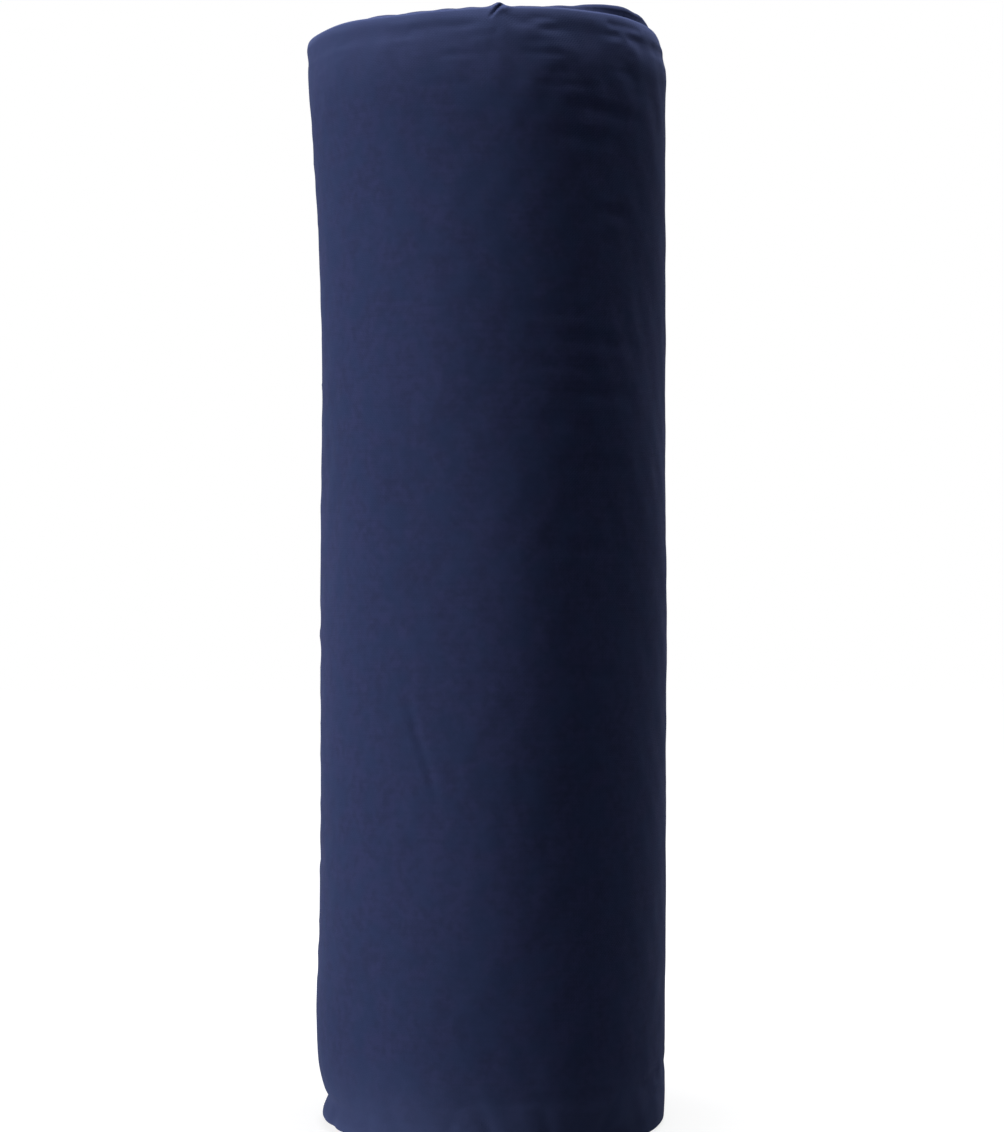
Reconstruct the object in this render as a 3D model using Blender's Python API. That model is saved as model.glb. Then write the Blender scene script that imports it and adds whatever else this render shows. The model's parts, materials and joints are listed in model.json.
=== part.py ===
"""A round yoga bolster, 28 in long and 9 in across, standing on one end.

The cover is a sewn tube of cotton with a round panel at each end, a lengthwise zip and a webbing handle.
In it a calico liner holds a roll of cotton batting with a pad at each end.
The origin is on the floor, on the bolster's axis. +Z runs along the axis and -Y is the front.
"""

import math

import bmesh
import bpy
import numpy as np
from mathutils import Matrix, Vector

for item in list(bpy.data.objects):
    bpy.data.objects.remove(item, do_unlink=True)

# Driving sizes of the bolster, in metres
LENGTH = 0.711              # from end seam to end seam, 28 in
RADIUS = 0.1145             # of the wrap, half of 9 in
SEAM_HEIGHT = 0.003         # of the bottom end seam above the floor
TOP_CROWN = 0.008           # how far the top end panel swells past its seam
FLAT_SHARE = 0.86           # of the bottom panel's radius that the weight presses flat
DRAW_IN = 0.004             # how far an end seam pulls the wrap in
DRAW_HEIGHT = 0.030         # of the wrap next to an end seam that is pulled in
DRAW_BEND = 0.009           # the height in it where the wrap turns in the most
TOP_FLARE = 0.007           # how far the wrap leans out under the top seam, on the left
FLARE_SIDE = math.radians(180)
FLARE_LEAD = 0.004          # from the zip's tapes up to where the lean starts
FLARE_INSET = 0.014         # of its full lean from the top seam

# Cloth and the room between pieces that touch
COVER_CLOTH = 0.0010
LINER_CLOTH = 0.0008
CLEARANCE = 0.0003
HEM = 0.010                 # of cloth turned in at an end seam

# The zip, a moulded one in a lengthwise seam just behind the left side
ZIP_ANGLE = math.radians(166)
ZIP_LENGTH = 0.508          # of the slot in the wrap, 20 in
ZIP_DROP = 0.0145           # how far the slot's middle lies below the wrap's middle
SLOT_HALF = 0.0062          # half the slot between the wrap's two folded edges
TAPE_CLOTH = 0.0007
TAPE_REACH = 0.0155         # from the middle of the zip to the tape's sewn edge
TAPE_TAIL = 0.012           # of tape past each end of the slot
DENT_MARGIN = 0.006         # past the tape, where the liner is pressed in behind it
TOOTH_PITCH = 0.0032
TOOTH_THICK = 0.0024
TOOTH_ROOT = 0.00115        # a tooth's height where it leaves the moulded cord
TOOTH_HEAD = 0.00145        # and at its head, which locks between its neighbours
CORD_FACE = 0.0013          # from the middle of the zip to the cord that carries the teeth
CORD_BACK = 0.0027
STOP_LENGTH = 0.003
END_STOP_LENGTH = 0.005
STOP_INSET = 0.004          # of the stops from the ends of the slot
STOP_WALL = 0.0006
STOP_GRIP = 0.0018          # of tape that a stop's jaws hold

# The slider and its pull. Its waist, elbow and wedge tip are heights from its middle
SLIDER_LENGTH = 0.012
SLIDER_WAIST = 0.0020       # where its straight rear ends
SLIDER_ELBOW = -0.0015      # where it reaches its full width
SLIDER_CORNER = 0.0012      # of its mouth's two corners that are cut back
SLIDER_SHOULDER = 0.0053    # half its width at the mouth
SLIDER_PLATE = 0.0011
FLANGE = 0.0009
WEDGE_TIP = -0.0005         # of the wedge that parts the teeth
WEDGE_HALF = 0.0022         # half its width at its widest
WEDGE_FOOT_HALF = 0.0015    # half the width of its foot, which is as far below its widest place
WEDGE_INSET = 0.0002        # of its foot from the slider's mouth
BRIDGE_BORE = 0.0010        # radius inside the bridge
BRIDGE_WALL = 0.0008
BRIDGE_WIDTH = 0.0014
PULL_LENGTH = 0.024
PULL_HALF = 0.0030          # half its width at the grip
PULL_THICK = 0.0010
PULL_EYE_WALL = 0.0010

# The handle, webbing with its ends turned under and sewn to the top panel
WEBBING = 0.0018
HANDLE_WIDTH = 0.030
HANDLE_INSET = 0.0295       # from the wrap's side to each end of the handle
HANDLE_SEWN = 0.024         # of each end that is sewn down
HANDLE_BOW = 0.0054
PATCH_CLOTH = 0.0008
PATCH_MARGIN = 0.003
PATCH_DROP = 0.0007         # of a patch below the panel's true curve, clear of its flat facets

# The filling
LINER_DROP = 0.0022         # how much less the liner's top swells than the cover's
BATTING = 0.012
BATTING_GAP = 0.0005
ROLL_EYE = 0.006            # radius where the roll starts
FEATHER = 0.002             # thickness of the batting's thinned outer end
ROLL_SLACK = 0.0007         # between the roll and the liner's wall

# How finely the round pieces are divided
AROUND = 36
ROLL_AROUND = 24
LEAST_TURN = 0.02           # the least angle between the roll's last two points
BRIDGE_POINTS = 9
CREASE = math.radians(35)   # faces that meet at more than this keep a sharp edge
BEVEL_FROM = math.radians(40)

# Heights that follow from those sizes
BOTTOM_SEAM = SEAM_HEIGHT
TOP_SEAM = BOTTOM_SEAM + LENGTH
ZIP_FOOT = (BOTTOM_SEAM + TOP_SEAM - ZIP_LENGTH) / 2 - ZIP_DROP
ZIP_HEAD = ZIP_FOOT + ZIP_LENGTH
TAPE_FOOT = ZIP_FOOT - TAPE_TAIL
TAPE_HEAD = ZIP_HEAD + TAPE_TAIL
FLARE_START = TAPE_HEAD + FLARE_LEAD
FLARE_END = TOP_SEAM - FLARE_INSET
LINER_FOOT = COVER_CLOTH + CLEARANCE
LINER_SEAM = TOP_SEAM - COVER_CLOTH - CLEARANCE

# Radii at the zip
TAPE_OUTER = RADIUS - COVER_CLOTH - CLEARANCE
TAPE_INNER = TAPE_OUTER - TAPE_CLOTH
ZIP_PLANE = (TAPE_OUTER + TAPE_INNER) / 2
CHANNEL_HALF = TOOTH_THICK / 2 + CLEARANCE
SLIDER_HALF = CHANNEL_HALF + SLIDER_PLATE
TAPE_SLOT_HALF = TAPE_CLOTH / 2 + CLEARANCE
TAPE_EDGE = CORD_BACK + CLEARANCE

# Places along the zip: the slider rests on the lower pair of stops, with the zip closed
STOP_FOOT = ZIP_FOOT + STOP_INSET
SLIDER_HEIGHT = STOP_FOOT + STOP_LENGTH + CLEARANCE + SLIDER_LENGTH / 2
END_STOP_FOOT = ZIP_HEAD - STOP_INSET - END_STOP_LENGTH
SLIDER_TRAVEL = END_STOP_FOOT - CLEARANCE - SLIDER_LENGTH / 2 - SLIDER_HEIGHT
HINGE_RISE = SLIDER_HALF + BRIDGE_BORE
PULL_WINDOW = BRIDGE_BORE + BRIDGE_WALL + 2 * CLEARANCE
PULL_WINDOW_HALF = BRIDGE_WIDTH / 2 + CLEARANCE
HANDLE_REACH = RADIUS - HANDLE_INSET

# Finishes: a colour, a roughness and how metallic it is
COTTON = ((0.022, 0.033, 0.093), 0.85, 0.0)
WEBBING_BLUE = ((0.015, 0.021, 0.060), 0.7, 0.0)
TAPE_BLUE = ((0.015, 0.021, 0.060), 0.8, 0.0)
TOOTH_BLUE = ((0.015, 0.021, 0.060), 0.35, 0.0)
DARK_METAL = ((0.05, 0.05, 0.055), 0.35, 0.9)
CALICO = ((0.62, 0.55, 0.42), 0.9, 0.0)
BATTING_CREAM = ((0.70, 0.66, 0.56), 0.95, 0.0)


def smooth(value):
    """0 below 0 and 1 above 1, with an S-curve between."""
    value = np.clip(value, 0.0, 1.0)
    return value * value * (3.0 - 2.0 * value)


def zip_angle_at(distance, radius=RADIUS):
    """The angle round the bolster that a distance from the middle of the zip takes up."""
    return math.asin(distance / radius)


SLOT_ANGLE = zip_angle_at(SLOT_HALF)
TAPE_ANGLE = zip_angle_at(TAPE_REACH)
TAPE_EDGE_ANGLE = zip_angle_at(TAPE_EDGE, ZIP_PLANE)
DENT_ANGLE = zip_angle_at(TAPE_REACH + DENT_MARGIN)


def ring_angles():
    """The angles that every round shell shares: close together at the zip and even elsewhere."""
    near = [SLOT_ANGLE, TAPE_ANGLE, DENT_ANGLE]
    far = np.linspace(DENT_ANGLE, 2 * math.pi - DENT_ANGLE, AROUND)[1:-1]
    turn = [-angle for angle in reversed(near)] + near + list(far)
    return ZIP_ANGLE + np.array(turn)


ANGLES = ring_angles()
FIRST_SLOT_COLUMN = 2


def wrap_radius(angle, height):
    """The cover's outer radius: straight, drawn in at each seam and leaning out at the top left."""
    from_seam = np.minimum(height - BOTTOM_SEAM, TOP_SEAM - height)
    drawn = DRAW_IN * np.clip(1.0 - from_seam / DRAW_HEIGHT, 0.0, 1.0) ** 2
    side = (0.5 + 0.5 * np.cos(angle - FLARE_SIDE)) ** 2
    lean = TOP_FLARE * side * smooth((height - FLARE_START) / (FLARE_END - FLARE_START))
    return RADIUS - drawn + lean


def ring(radius, height):
    """Points at one height. The radius is one number or one for each angle."""
    radius = np.broadcast_to(radius, ANGLES.shape)
    height = np.broadcast_to(height, ANGLES.shape)
    return np.stack([radius * np.cos(ANGLES), radius * np.sin(ANGLES), height], axis=1)


def crown(share, rise):
    """How far a domed panel stands above its seam at a share of its radius."""
    return rise * (1.0 - np.asarray(share) ** 4)


def finish(obj, look):
    """Gives an object a material of its own and shades its round faces smooth."""
    colour, roughness, metallic = look
    material = bpy.data.materials.new(obj.name + "_finish")
    material.use_nodes = True
    shader = material.node_tree.nodes["Principled BSDF"]
    shader.inputs["Base Color"].default_value = (*colour, 1.0)
    shader.inputs["Roughness"].default_value = roughness
    shader.inputs["Metallic"].default_value = metallic
    material.diffuse_color = (*colour, 1.0)
    obj.data.materials.append(material)
    obj.data.shade_smooth()
    obj.data.set_sharp_from_angle(angle=CREASE)
    return obj


def add_object(name, points, faces, closed=True):
    """Makes a mesh object. A closed one gets its faces turned outwards."""
    mesh = bpy.data.meshes.new(name)
    mesh.from_pydata([tuple(point) for point in points], [], faces)
    if closed:
        work = bmesh.new()
        work.from_mesh(mesh)
        bmesh.ops.recalc_face_normals(work, faces=work.faces)
        work.to_mesh(mesh)
        work.free()
    obj = bpy.data.objects.new(name, mesh)
    bpy.context.scene.collection.objects.link(obj)
    return obj


def loft_faces(rows, around, wraps=True, left_out=()):
    """Quads between neighbouring rows of points, except the cells named by row and column."""
    faces = []
    for row in range(rows - 1):
        for column in range(around if wraps else around - 1):
            if (row, column) in left_out:
                continue
            following = (column + 1) % around
            low = row * around
            high = low + around
            faces.append((low + column, low + following, high + following, high + column))
    return faces


def solidify(obj, thickness):
    """Gives an open surface a wall of one thickness, behind its outer side."""
    wall = obj.modifiers.new("wall", "SOLIDIFY")
    wall.thickness = thickness
    wall.offset = -1.0
    wall.use_even_offset = True
    return obj


def tube(name, sections):
    """A closed body through sections of equal point count, capped at both ends."""
    sections = np.asarray(sections)
    rows, around = sections.shape[:2]
    faces = loft_faces(rows, around)
    faces.append(tuple(reversed(range(around))))
    faces.append(tuple(range((rows - 1) * around, rows * around)))
    return add_object(name, sections.reshape(-1, 3), faces)


def prism(name, outline, low, high, along="x"):
    """An outline in the other two axes, carried along one axis from low to high."""
    if along == "x":
        sections = [[(depth, a, b) for a, b in outline] for depth in (low, high)]
    elif along == "y":
        sections = [[(a, depth, b) for a, b in outline] for depth in (low, high)]
    else:
        sections = [[(a, b, depth) for a, b in outline] for depth in (low, high)]
    return tube(name, sections)


def bevel(obj, width, segments=1):
    """Rounds an object's edges."""
    rounding = obj.modifiers.new("rounding", "BEVEL")
    rounding.width = width
    rounding.segments = segments
    rounding.limit_method = "ANGLE"
    rounding.angle_limit = BEVEL_FROM
    return obj


def combine(obj, other, operation):
    """Cuts or adds another object with a live Boolean, and hides that object."""
    step = obj.modifiers.new(other.name, "BOOLEAN")
    step.object = other
    step.operation = operation
    step.solver = "EXACT"
    other.hide_render = True
    other.display_type = "WIRE"
    other.parent = obj


def place_at_zip(obj, height, outwards=0.0):
    """Stands an object on the zip's line. Its X points out of the bolster and its Y to the front."""
    radius = ZIP_PLANE + outwards
    turn = Matrix.Rotation(ZIP_ANGLE, 4, "Z")
    place = Vector((radius * math.cos(ZIP_ANGLE), radius * math.sin(ZIP_ANGLE), height))
    obj.matrix_world = Matrix.Translation(place) @ turn
    return obj


def sewn_wrap(name, radius_at, heights, cloth, seams, slot_rows=None):
    """A tube of cloth with its ends turned in. The slot, if any, lies between two rows of it."""
    low, high = seams
    folded = 2 * cloth + CLEARANCE
    low_fold = radius_at(ANGLES, low) - folded
    high_fold = radius_at(ANGLES, high) - folded
    rows = [ring(low_fold, low + HEM), ring(low_fold, low)]
    rows += [ring(radius_at(ANGLES, height), height) for height in heights]
    rows += [ring(high_fold, high), ring(high_fold, high - HEM)]
    left_out = set()
    if slot_rows:
        first = 2 + slot_rows[0]
        left_out = {(first + step, FIRST_SLOT_COLUMN) for step in range(slot_rows[1] - slot_rows[0])}
    points = np.concatenate(rows)
    faces = loft_faces(len(rows), len(ANGLES), left_out=left_out)
    return solidify(add_object(name, points, faces, closed=False), cloth)


def sewn_end(name, seam_radius, seam, shares, rises, cloth, up):
    """A round end panel with its edge turned into the tube, inside the tube's own turned edge.

    Shares are parts of its radius from the edge to the middle. Rises are its heights there over its seam.
    """
    rim = seam_radius - 2 * cloth - 2 * CLEARANCE
    inwards = -1.0 if up else 1.0
    rows = [ring(rim, seam + inwards * HEM), ring(rim, seam)]
    rows += [ring(rim * share, seam + rise) for share, rise in zip(shares[:-1], rises[:-1])]
    around = len(ANGLES)
    points = np.concatenate(rows).tolist()
    faces = loft_faces(len(rows), around)
    edge = (len(rows) - 1) * around
    points.append((0.0, 0.0, seam + rises[-1]))
    faces += [(edge + step, edge + (step + 1) % around, len(points) - 1) for step in range(around)]
    if not up:
        faces = [tuple(reversed(face)) for face in faces]
    return solidify(add_object(name, points, faces, closed=False), cloth)


def turned_pad(name, radii, heights):
    """A closed round pad from its lower middle, out round its side, to its upper middle."""
    rows = [ring(radius, height) for radius, height in zip(radii[1:-1], heights[1:-1])]
    around = len(ANGLES)
    points = np.concatenate(rows).tolist()
    faces = loft_faces(len(rows), around)
    points += [(0.0, 0.0, heights[0]), (0.0, 0.0, heights[-1])]
    last = (len(rows) - 1) * around
    for step in range(around):
        following = (step + 1) % around
        faces.append((len(points) - 2, following, step))
        faces.append((last + step, last + following, len(points) - 1))
    return add_object(name, points, faces)


# The cover
DOME_SHARES = (0.90, 0.76, 0.58, 0.32, 0.0)
FLAT_SHARES = (FLAT_SHARE, 0.0)


def end_seam_radius(height):
    return wrap_radius(ANGLES, height)


def make_cover():
    heights = [
        BOTTOM_SEAM,
        BOTTOM_SEAM + DRAW_BEND,
        BOTTOM_SEAM + DRAW_HEIGHT,
        ZIP_FOOT,
        ZIP_HEAD,
        FLARE_START,
        (FLARE_START + FLARE_END) / 2,
        TOP_SEAM - DRAW_HEIGHT,
        TOP_SEAM - DRAW_BEND,
        TOP_SEAM,
    ]
    slot_rows = (heights.index(ZIP_FOOT), heights.index(ZIP_HEAD))
    seams = (BOTTOM_SEAM, TOP_SEAM)
    finish(sewn_wrap("cover_wrap", wrap_radius, heights, COVER_CLOTH, seams, slot_rows), COTTON)
    rises = crown(DOME_SHARES, TOP_CROWN)
    radius = end_seam_radius(TOP_SEAM)
    finish(sewn_end("cover_end_top", radius, TOP_SEAM, DOME_SHARES, rises, COVER_CLOTH, True), COTTON)
    rises = [-SEAM_HEIGHT] * len(FLAT_SHARES)
    radius = end_seam_radius(BOTTOM_SEAM)
    finish(sewn_end("cover_end_bottom", radius, BOTTOM_SEAM, FLAT_SHARES, rises, COVER_CLOTH, False), COTTON)


# The liner keeps clear of the cover's turned edges and of the zip's tapes and slider
def liner_end_radius(height):
    """Inside the turned edges of the cover's wrap and end panel."""
    return end_seam_radius(height) - 3 * COVER_CLOTH - 3 * CLEARANCE


def zip_dent(angle, height):
    """How far the liner is pressed in behind the zip: most under the slider, less under the tapes."""
    off = np.abs((angle - ZIP_ANGLE + math.pi) % (2 * math.pi) - math.pi)
    slider_room = RADIUS - COVER_CLOTH - CLEARANCE - (ZIP_PLANE - SLIDER_HALF - CLEARANCE)
    tape_room = TAPE_CLOTH + CLEARANCE
    depth = np.interp(off, [SLOT_ANGLE, TAPE_ANGLE, DENT_ANGLE], [slider_room, tape_room, 0.0])
    inside = (height > TAPE_FOOT - HEM) & (height < TAPE_HEAD + HEM)
    return np.where(inside, depth, 0.0)


def liner_radius(angle, height):
    """The liner's outer radius: just inside the wrap, and narrower where the cover's hems are."""
    if height <= BOTTOM_SEAM + HEM + CLEARANCE:
        return wrap_radius(angle, BOTTOM_SEAM) - 3 * COVER_CLOTH - 3 * CLEARANCE
    if height >= TOP_SEAM - HEM - 2 * CLEARANCE:
        return wrap_radius(angle, TOP_SEAM) - 3 * COVER_CLOTH - 3 * CLEARANCE
    return wrap_radius(angle, height) - COVER_CLOTH - CLEARANCE - zip_dent(angle, height)


def liner_inner(angle, height):
    return liner_radius(angle, height) - LINER_CLOTH


LINER_BOTTOM_SEAM = LINER_FOOT + SEAM_HEIGHT
ROLL_FOOT = BOTTOM_SEAM + DRAW_HEIGHT + CLEARANCE
ROLL_HEAD = TOP_SEAM - DRAW_HEIGHT - CLEARANCE


def make_liner():
    heights = [
        LINER_BOTTOM_SEAM,
        BOTTOM_SEAM + HEM + CLEARANCE,
        BOTTOM_SEAM + DRAW_HEIGHT,
        TAPE_FOOT - CLEARANCE,
        TAPE_HEAD + CLEARANCE,
        FLARE_START + HEM,
        (FLARE_START + FLARE_END) / 2,
        TOP_SEAM - DRAW_HEIGHT,
        TOP_SEAM - HEM - 2 * CLEARANCE,
        LINER_SEAM,
    ]
    seams = (LINER_BOTTOM_SEAM, LINER_SEAM)
    finish(sewn_wrap("liner_wrap", liner_radius, heights, LINER_CLOTH, seams), CALICO)
    rises = crown(DOME_SHARES, TOP_CROWN - LINER_DROP)
    radius = liner_end_radius(TOP_SEAM)
    finish(sewn_end("liner_end_top", radius, LINER_SEAM, DOME_SHARES, rises, LINER_CLOTH, True), CALICO)
    rises = [-SEAM_HEIGHT] * len(FLAT_SHARES)
    radius = liner_end_radius(BOTTOM_SEAM)
    bottom = sewn_end("liner_end_bottom", radius, LINER_BOTTOM_SEAM, FLAT_SHARES, rises, LINER_CLOTH, False)
    finish(bottom, CALICO)


# The filling
def make_pads():
    """A pad of batting at each end, filling the liner's narrowed ends."""
    inner_radius = liner_end_radius(TOP_SEAM) - 3 * LINER_CLOTH - 3 * CLEARANCE
    full_radius = liner_inner(ANGLES, TOP_SEAM - DRAW_HEIGHT) - CLEARANCE
    under_liner = LINER_SEAM - LINER_CLOTH - 2 * CLEARANCE
    shares = DOME_SHARES[:-1]
    rises = crown(DOME_SHARES, TOP_CROWN - 2 * LINER_DROP)
    radii = [0.0, full_radius, inner_radius, inner_radius]
    radii += [inner_radius * share for share in shares] + [0.0]
    heights = [ROLL_HEAD + CLEARANCE, ROLL_HEAD + CLEARANCE, LINER_SEAM - HEM - CLEARANCE, under_liner]
    heights += [under_liner + rise for rise in rises]
    finish(turned_pad("batting_pad_top", radii, heights), BATTING_CREAM)

    inner_radius = liner_end_radius(BOTTOM_SEAM) - 3 * LINER_CLOTH - 3 * CLEARANCE
    full_radius = liner_inner(ANGLES, BOTTOM_SEAM + DRAW_HEIGHT) - CLEARANCE
    foot = LINER_FOOT + LINER_CLOTH + CLEARANCE
    radii = [0.0, inner_radius * FLAT_SHARE, inner_radius, inner_radius, full_radius, 0.0]
    heights = [foot, foot, foot + SEAM_HEIGHT, LINER_BOTTOM_SEAM + HEM + CLEARANCE]
    heights += [ROLL_FOOT - CLEARANCE, ROLL_FOOT - CLEARANCE]
    finish(turned_pad("batting_pad_bottom", radii, heights), BATTING_CREAM)


def spiral_angles(turns):
    """Angles along the roll, even except beside the zip, where they match the liner's."""
    near = [DENT_ANGLE, TAPE_ANGLE, SLOT_ANGLE]
    far = np.linspace(DENT_ANGLE, 2 * math.pi - DENT_ANGLE, ROLL_AROUND)[1:-1]
    one_turn = np.array([-angle for angle in near] + near[::-1] + list(far))
    whole = np.concatenate([one_turn + 2 * math.pi * turn for turn in range(math.ceil(turns) + 1)])
    end = one_turn[0] + 2 * math.pi * turns
    return np.append(whole[whole < end - LEAST_TURN], end), len(one_turn)


def make_roll():
    """The batting is one long strip wound from the middle, its last turn thinned to a feathered end."""
    outside = RADIUS - COVER_CLOTH - CLEARANCE - LINER_CLOTH - ROLL_SLACK
    pitch = BATTING + BATTING_GAP
    turns = (outside - FEATHER - ROLL_EYE) / pitch
    wound, per_turn = spiral_angles(turns)
    inner = ROLL_EYE + pitch * (wound - wound[0]) / (2 * math.pi)
    outer = np.minimum(inner + BATTING, outside)
    angles = ZIP_ANGLE + wound
    dent = zip_dent(angles, np.full(angles.shape, (ZIP_FOOT + ZIP_HEAD) / 2))
    inner = inner - dent * (inner / outside) ** 2
    outer = outer - dent * (outer / outside) ** 2
    gaps = inner[per_turn:-1] - outer[: -per_turn - 1]
    print(f"batting_roll: {turns:.1f} turns, least gap to itself {gaps.min() * 1000:.2f} mm")
    corners = [(inner, ROLL_FOOT), (outer, ROLL_FOOT), (outer, ROLL_HEAD), (inner, ROLL_HEAD)]
    sections = [
        np.stack([radius * np.cos(angles), radius * np.sin(angles), np.full(angles.shape, height)], axis=1)
        for radius, height in corners
    ]
    finish(tube("batting_roll", np.stack(sections, axis=1)), BATTING_CREAM)


# The zip
def make_tape(name, side):
    """A strip of tape under the wrap, from the moulded cord to its sewn edge."""
    turns = [ZIP_ANGLE + side * angle for angle in (TAPE_EDGE_ANGLE, SLOT_ANGLE, TAPE_ANGLE)]
    path = [(TAPE_OUTER, turn) for turn in turns] + [(TAPE_INNER, turn) for turn in reversed(turns)]
    section = [(radius * math.cos(turn), radius * math.sin(turn)) for radius, turn in path]
    finish(prism(name, section, TAPE_FOOT, TAPE_HEAD, along="z"), TAPE_BLUE)


def make_teeth(name, side, first_tooth):
    """A row of moulded teeth on its cord. Each head is wider than its root, so the two rows lock."""
    low = SLIDER_HEIGHT
    high = END_STOP_FOOT - CLEARANCE
    count = int((high - first_tooth - TOOTH_HEAD) / TOOTH_PITCH) + 1
    tip = -(CORD_FACE - CLEARANCE)
    outline = [(CORD_FACE, low), (CORD_BACK, low), (CORD_BACK, high), (CORD_FACE, high)]
    for number in reversed(range(count)):
        middle = first_tooth + TOOTH_HEAD / 2 + number * TOOTH_PITCH
        outline.append((CORD_FACE, middle + TOOTH_ROOT / 2))
        outline.append((tip, middle + TOOTH_HEAD / 2))
        outline.append((tip, middle - TOOTH_HEAD / 2))
        outline.append((CORD_FACE, middle - TOOTH_ROOT / 2))
    outline = [(side * across, height) for across, height in outline]
    teeth = prism(name, outline, -TOOTH_THICK / 2, TOOTH_THICK / 2)
    finish(place_at_zip(teeth, 0.0), TOOTH_BLUE)


def make_stop(name, side):
    """A small metal clip round the edge of one tape, which stops the slider when the zip is closed."""
    outer = TAPE_SLOT_HALF + STOP_WALL
    slot = TAPE_SLOT_HALF
    seat = TAPE_EDGE - CLEARANCE
    back = seat - STOP_WALL
    reach = seat + STOP_GRIP
    outline = [(-outer, back), (outer, back), (outer, reach), (slot, reach)]
    outline += [(slot, seat), (-slot, seat), (-slot, reach), (-outer, reach)]
    outline = [(depth, side * across) for depth, across in outline]
    stop = prism(name, outline, 0.0, STOP_LENGTH, along="z")
    finish(place_at_zip(stop, STOP_FOOT), DARK_METAL)


def make_end_stop():
    """The metal block that holds both tapes together where the zip ends."""
    outer = TAPE_SLOT_HALF + STOP_WALL
    slot = TAPE_SLOT_HALF
    web = TAPE_EDGE - CLEARANCE
    reach = web + STOP_GRIP
    half = [(outer, reach), (slot, reach), (slot, web), (-slot, web), (-slot, reach), (-outer, reach)]
    outline = half + [(depth, -across) for depth, across in reversed(half)]
    stop = prism("zip_end_stop", outline, 0.0, END_STOP_LENGTH, along="z")
    finish(place_at_zip(stop, END_STOP_FOOT), DARK_METAL)


def mirrored(half):
    """An outline from its half on the positive side, listed from one end to the other."""
    return half + [(-across, height) for across, height in reversed(half) if across > 0]


def make_slider():
    """Two plates joined by a wedge, with turned edges that guide the teeth and a bridge for the pull."""
    end = SLIDER_LENGTH / 2
    past = end + FLANGE
    rear = TAPE_EDGE + FLANGE
    mouth = SLIDER_SHOULDER - FLANGE
    half = [(rear, end), (rear, SLIDER_WAIST)]
    half += [(SLIDER_SHOULDER, SLIDER_ELBOW), (SLIDER_SHOULDER, SLIDER_CORNER - end), (mouth, -end)]
    slider = prism("zip_slider", mirrored(half), -SLIDER_HALF, SLIDER_HALF)
    bevel(slider, FLANGE / 3)
    half = [(TAPE_EDGE, past), (TAPE_EDGE, SLIDER_WAIST), (mouth, SLIDER_ELBOW), (mouth, -past)]
    combine(slider, prism("chain_channel", mirrored(half), -CHANNEL_HALF, CHANNEL_HALF), "DIFFERENCE")
    half = [(2 * SLIDER_SHOULDER, past), (2 * SLIDER_SHOULDER, -past)]
    combine(slider, prism("tape_slots", mirrored(half), -TAPE_SLOT_HALF, TAPE_SLOT_HALF), "DIFFERENCE")
    foot = WEDGE_INSET - end
    wedge = [(0.0, WEDGE_TIP), (WEDGE_HALF, foot + WEDGE_FOOT_HALF), (WEDGE_FOOT_HALF, foot)]
    sunk = CHANNEL_HALF + SLIDER_PLATE / 2
    combine(slider, prism("wedge", mirrored(wedge), -sunk, sunk), "UNION")
    combine(slider, make_bridge(), "UNION")
    finish(slider, DARK_METAL)
    place_at_zip(slider, SLIDER_HEIGHT)


def make_bridge():
    """An arch over the pull's bar, with both feet in the slider's top plate."""
    foot = SLIDER_HALF - SLIDER_PLATE / 2
    bend = np.radians(np.linspace(-90, 90, BRIDGE_POINTS))
    outline = []
    for radius, order in ((BRIDGE_BORE + BRIDGE_WALL, 1), (BRIDGE_BORE, -1)):
        arc = [(HINGE_RISE + radius * math.cos(turn), radius * math.sin(turn)) for turn in bend]
        outline += ([(foot, -radius)] + arc + [(foot, radius)])[::order]
    return prism("bridge", outline, -BRIDGE_WIDTH / 2, BRIDGE_WIDTH / 2, along="y")


def make_pull():
    """A flat metal tab hanging from the bridge by the bar over its window, with a grip hole."""
    eye = PULL_WINDOW_HALF + PULL_EYE_WALL
    bar = PULL_THICK / 2
    neck = -PULL_WINDOW - PULL_EYE_WALL
    corner = PULL_HALF / 2
    half = [(eye, bar), (eye, neck), (PULL_HALF, neck - PULL_HALF), (PULL_HALF, corner - PULL_LENGTH)]
    half += [(PULL_HALF - corner, -PULL_LENGTH)]
    pull = prism("zip_pull", mirrored(half), -PULL_THICK / 2, PULL_THICK / 2)
    bevel(pull, PULL_THICK / 5)
    window = [(PULL_WINDOW_HALF, -bar), (PULL_WINDOW_HALF, -PULL_WINDOW)]
    combine(pull, prism("bridge_window", mirrored(window), -PULL_THICK, PULL_THICK), "DIFFERENCE")
    top = -PULL_LENGTH / 2
    foot = PULL_HALF - PULL_LENGTH
    hole = [(corner / 2, top), (corner, top - corner / 2), (corner, foot + corner / 2), (corner / 2, foot)]
    combine(pull, prism("grip_hole", mirrored(hole), -PULL_THICK, PULL_THICK), "DIFFERENCE")
    finish(pull, DARK_METAL)
    place_at_zip(pull, SLIDER_HEIGHT, HINGE_RISE)


# The handle
def panel_height(x, y):
    """The height of the top panel's true curve at a point."""
    rim = wrap_radius(np.arctan2(y, x), TOP_SEAM) - 2 * COVER_CLOTH - 2 * CLEARANCE
    return TOP_SEAM + crown(np.hypot(x, y) / rim, TOP_CROWN)


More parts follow.
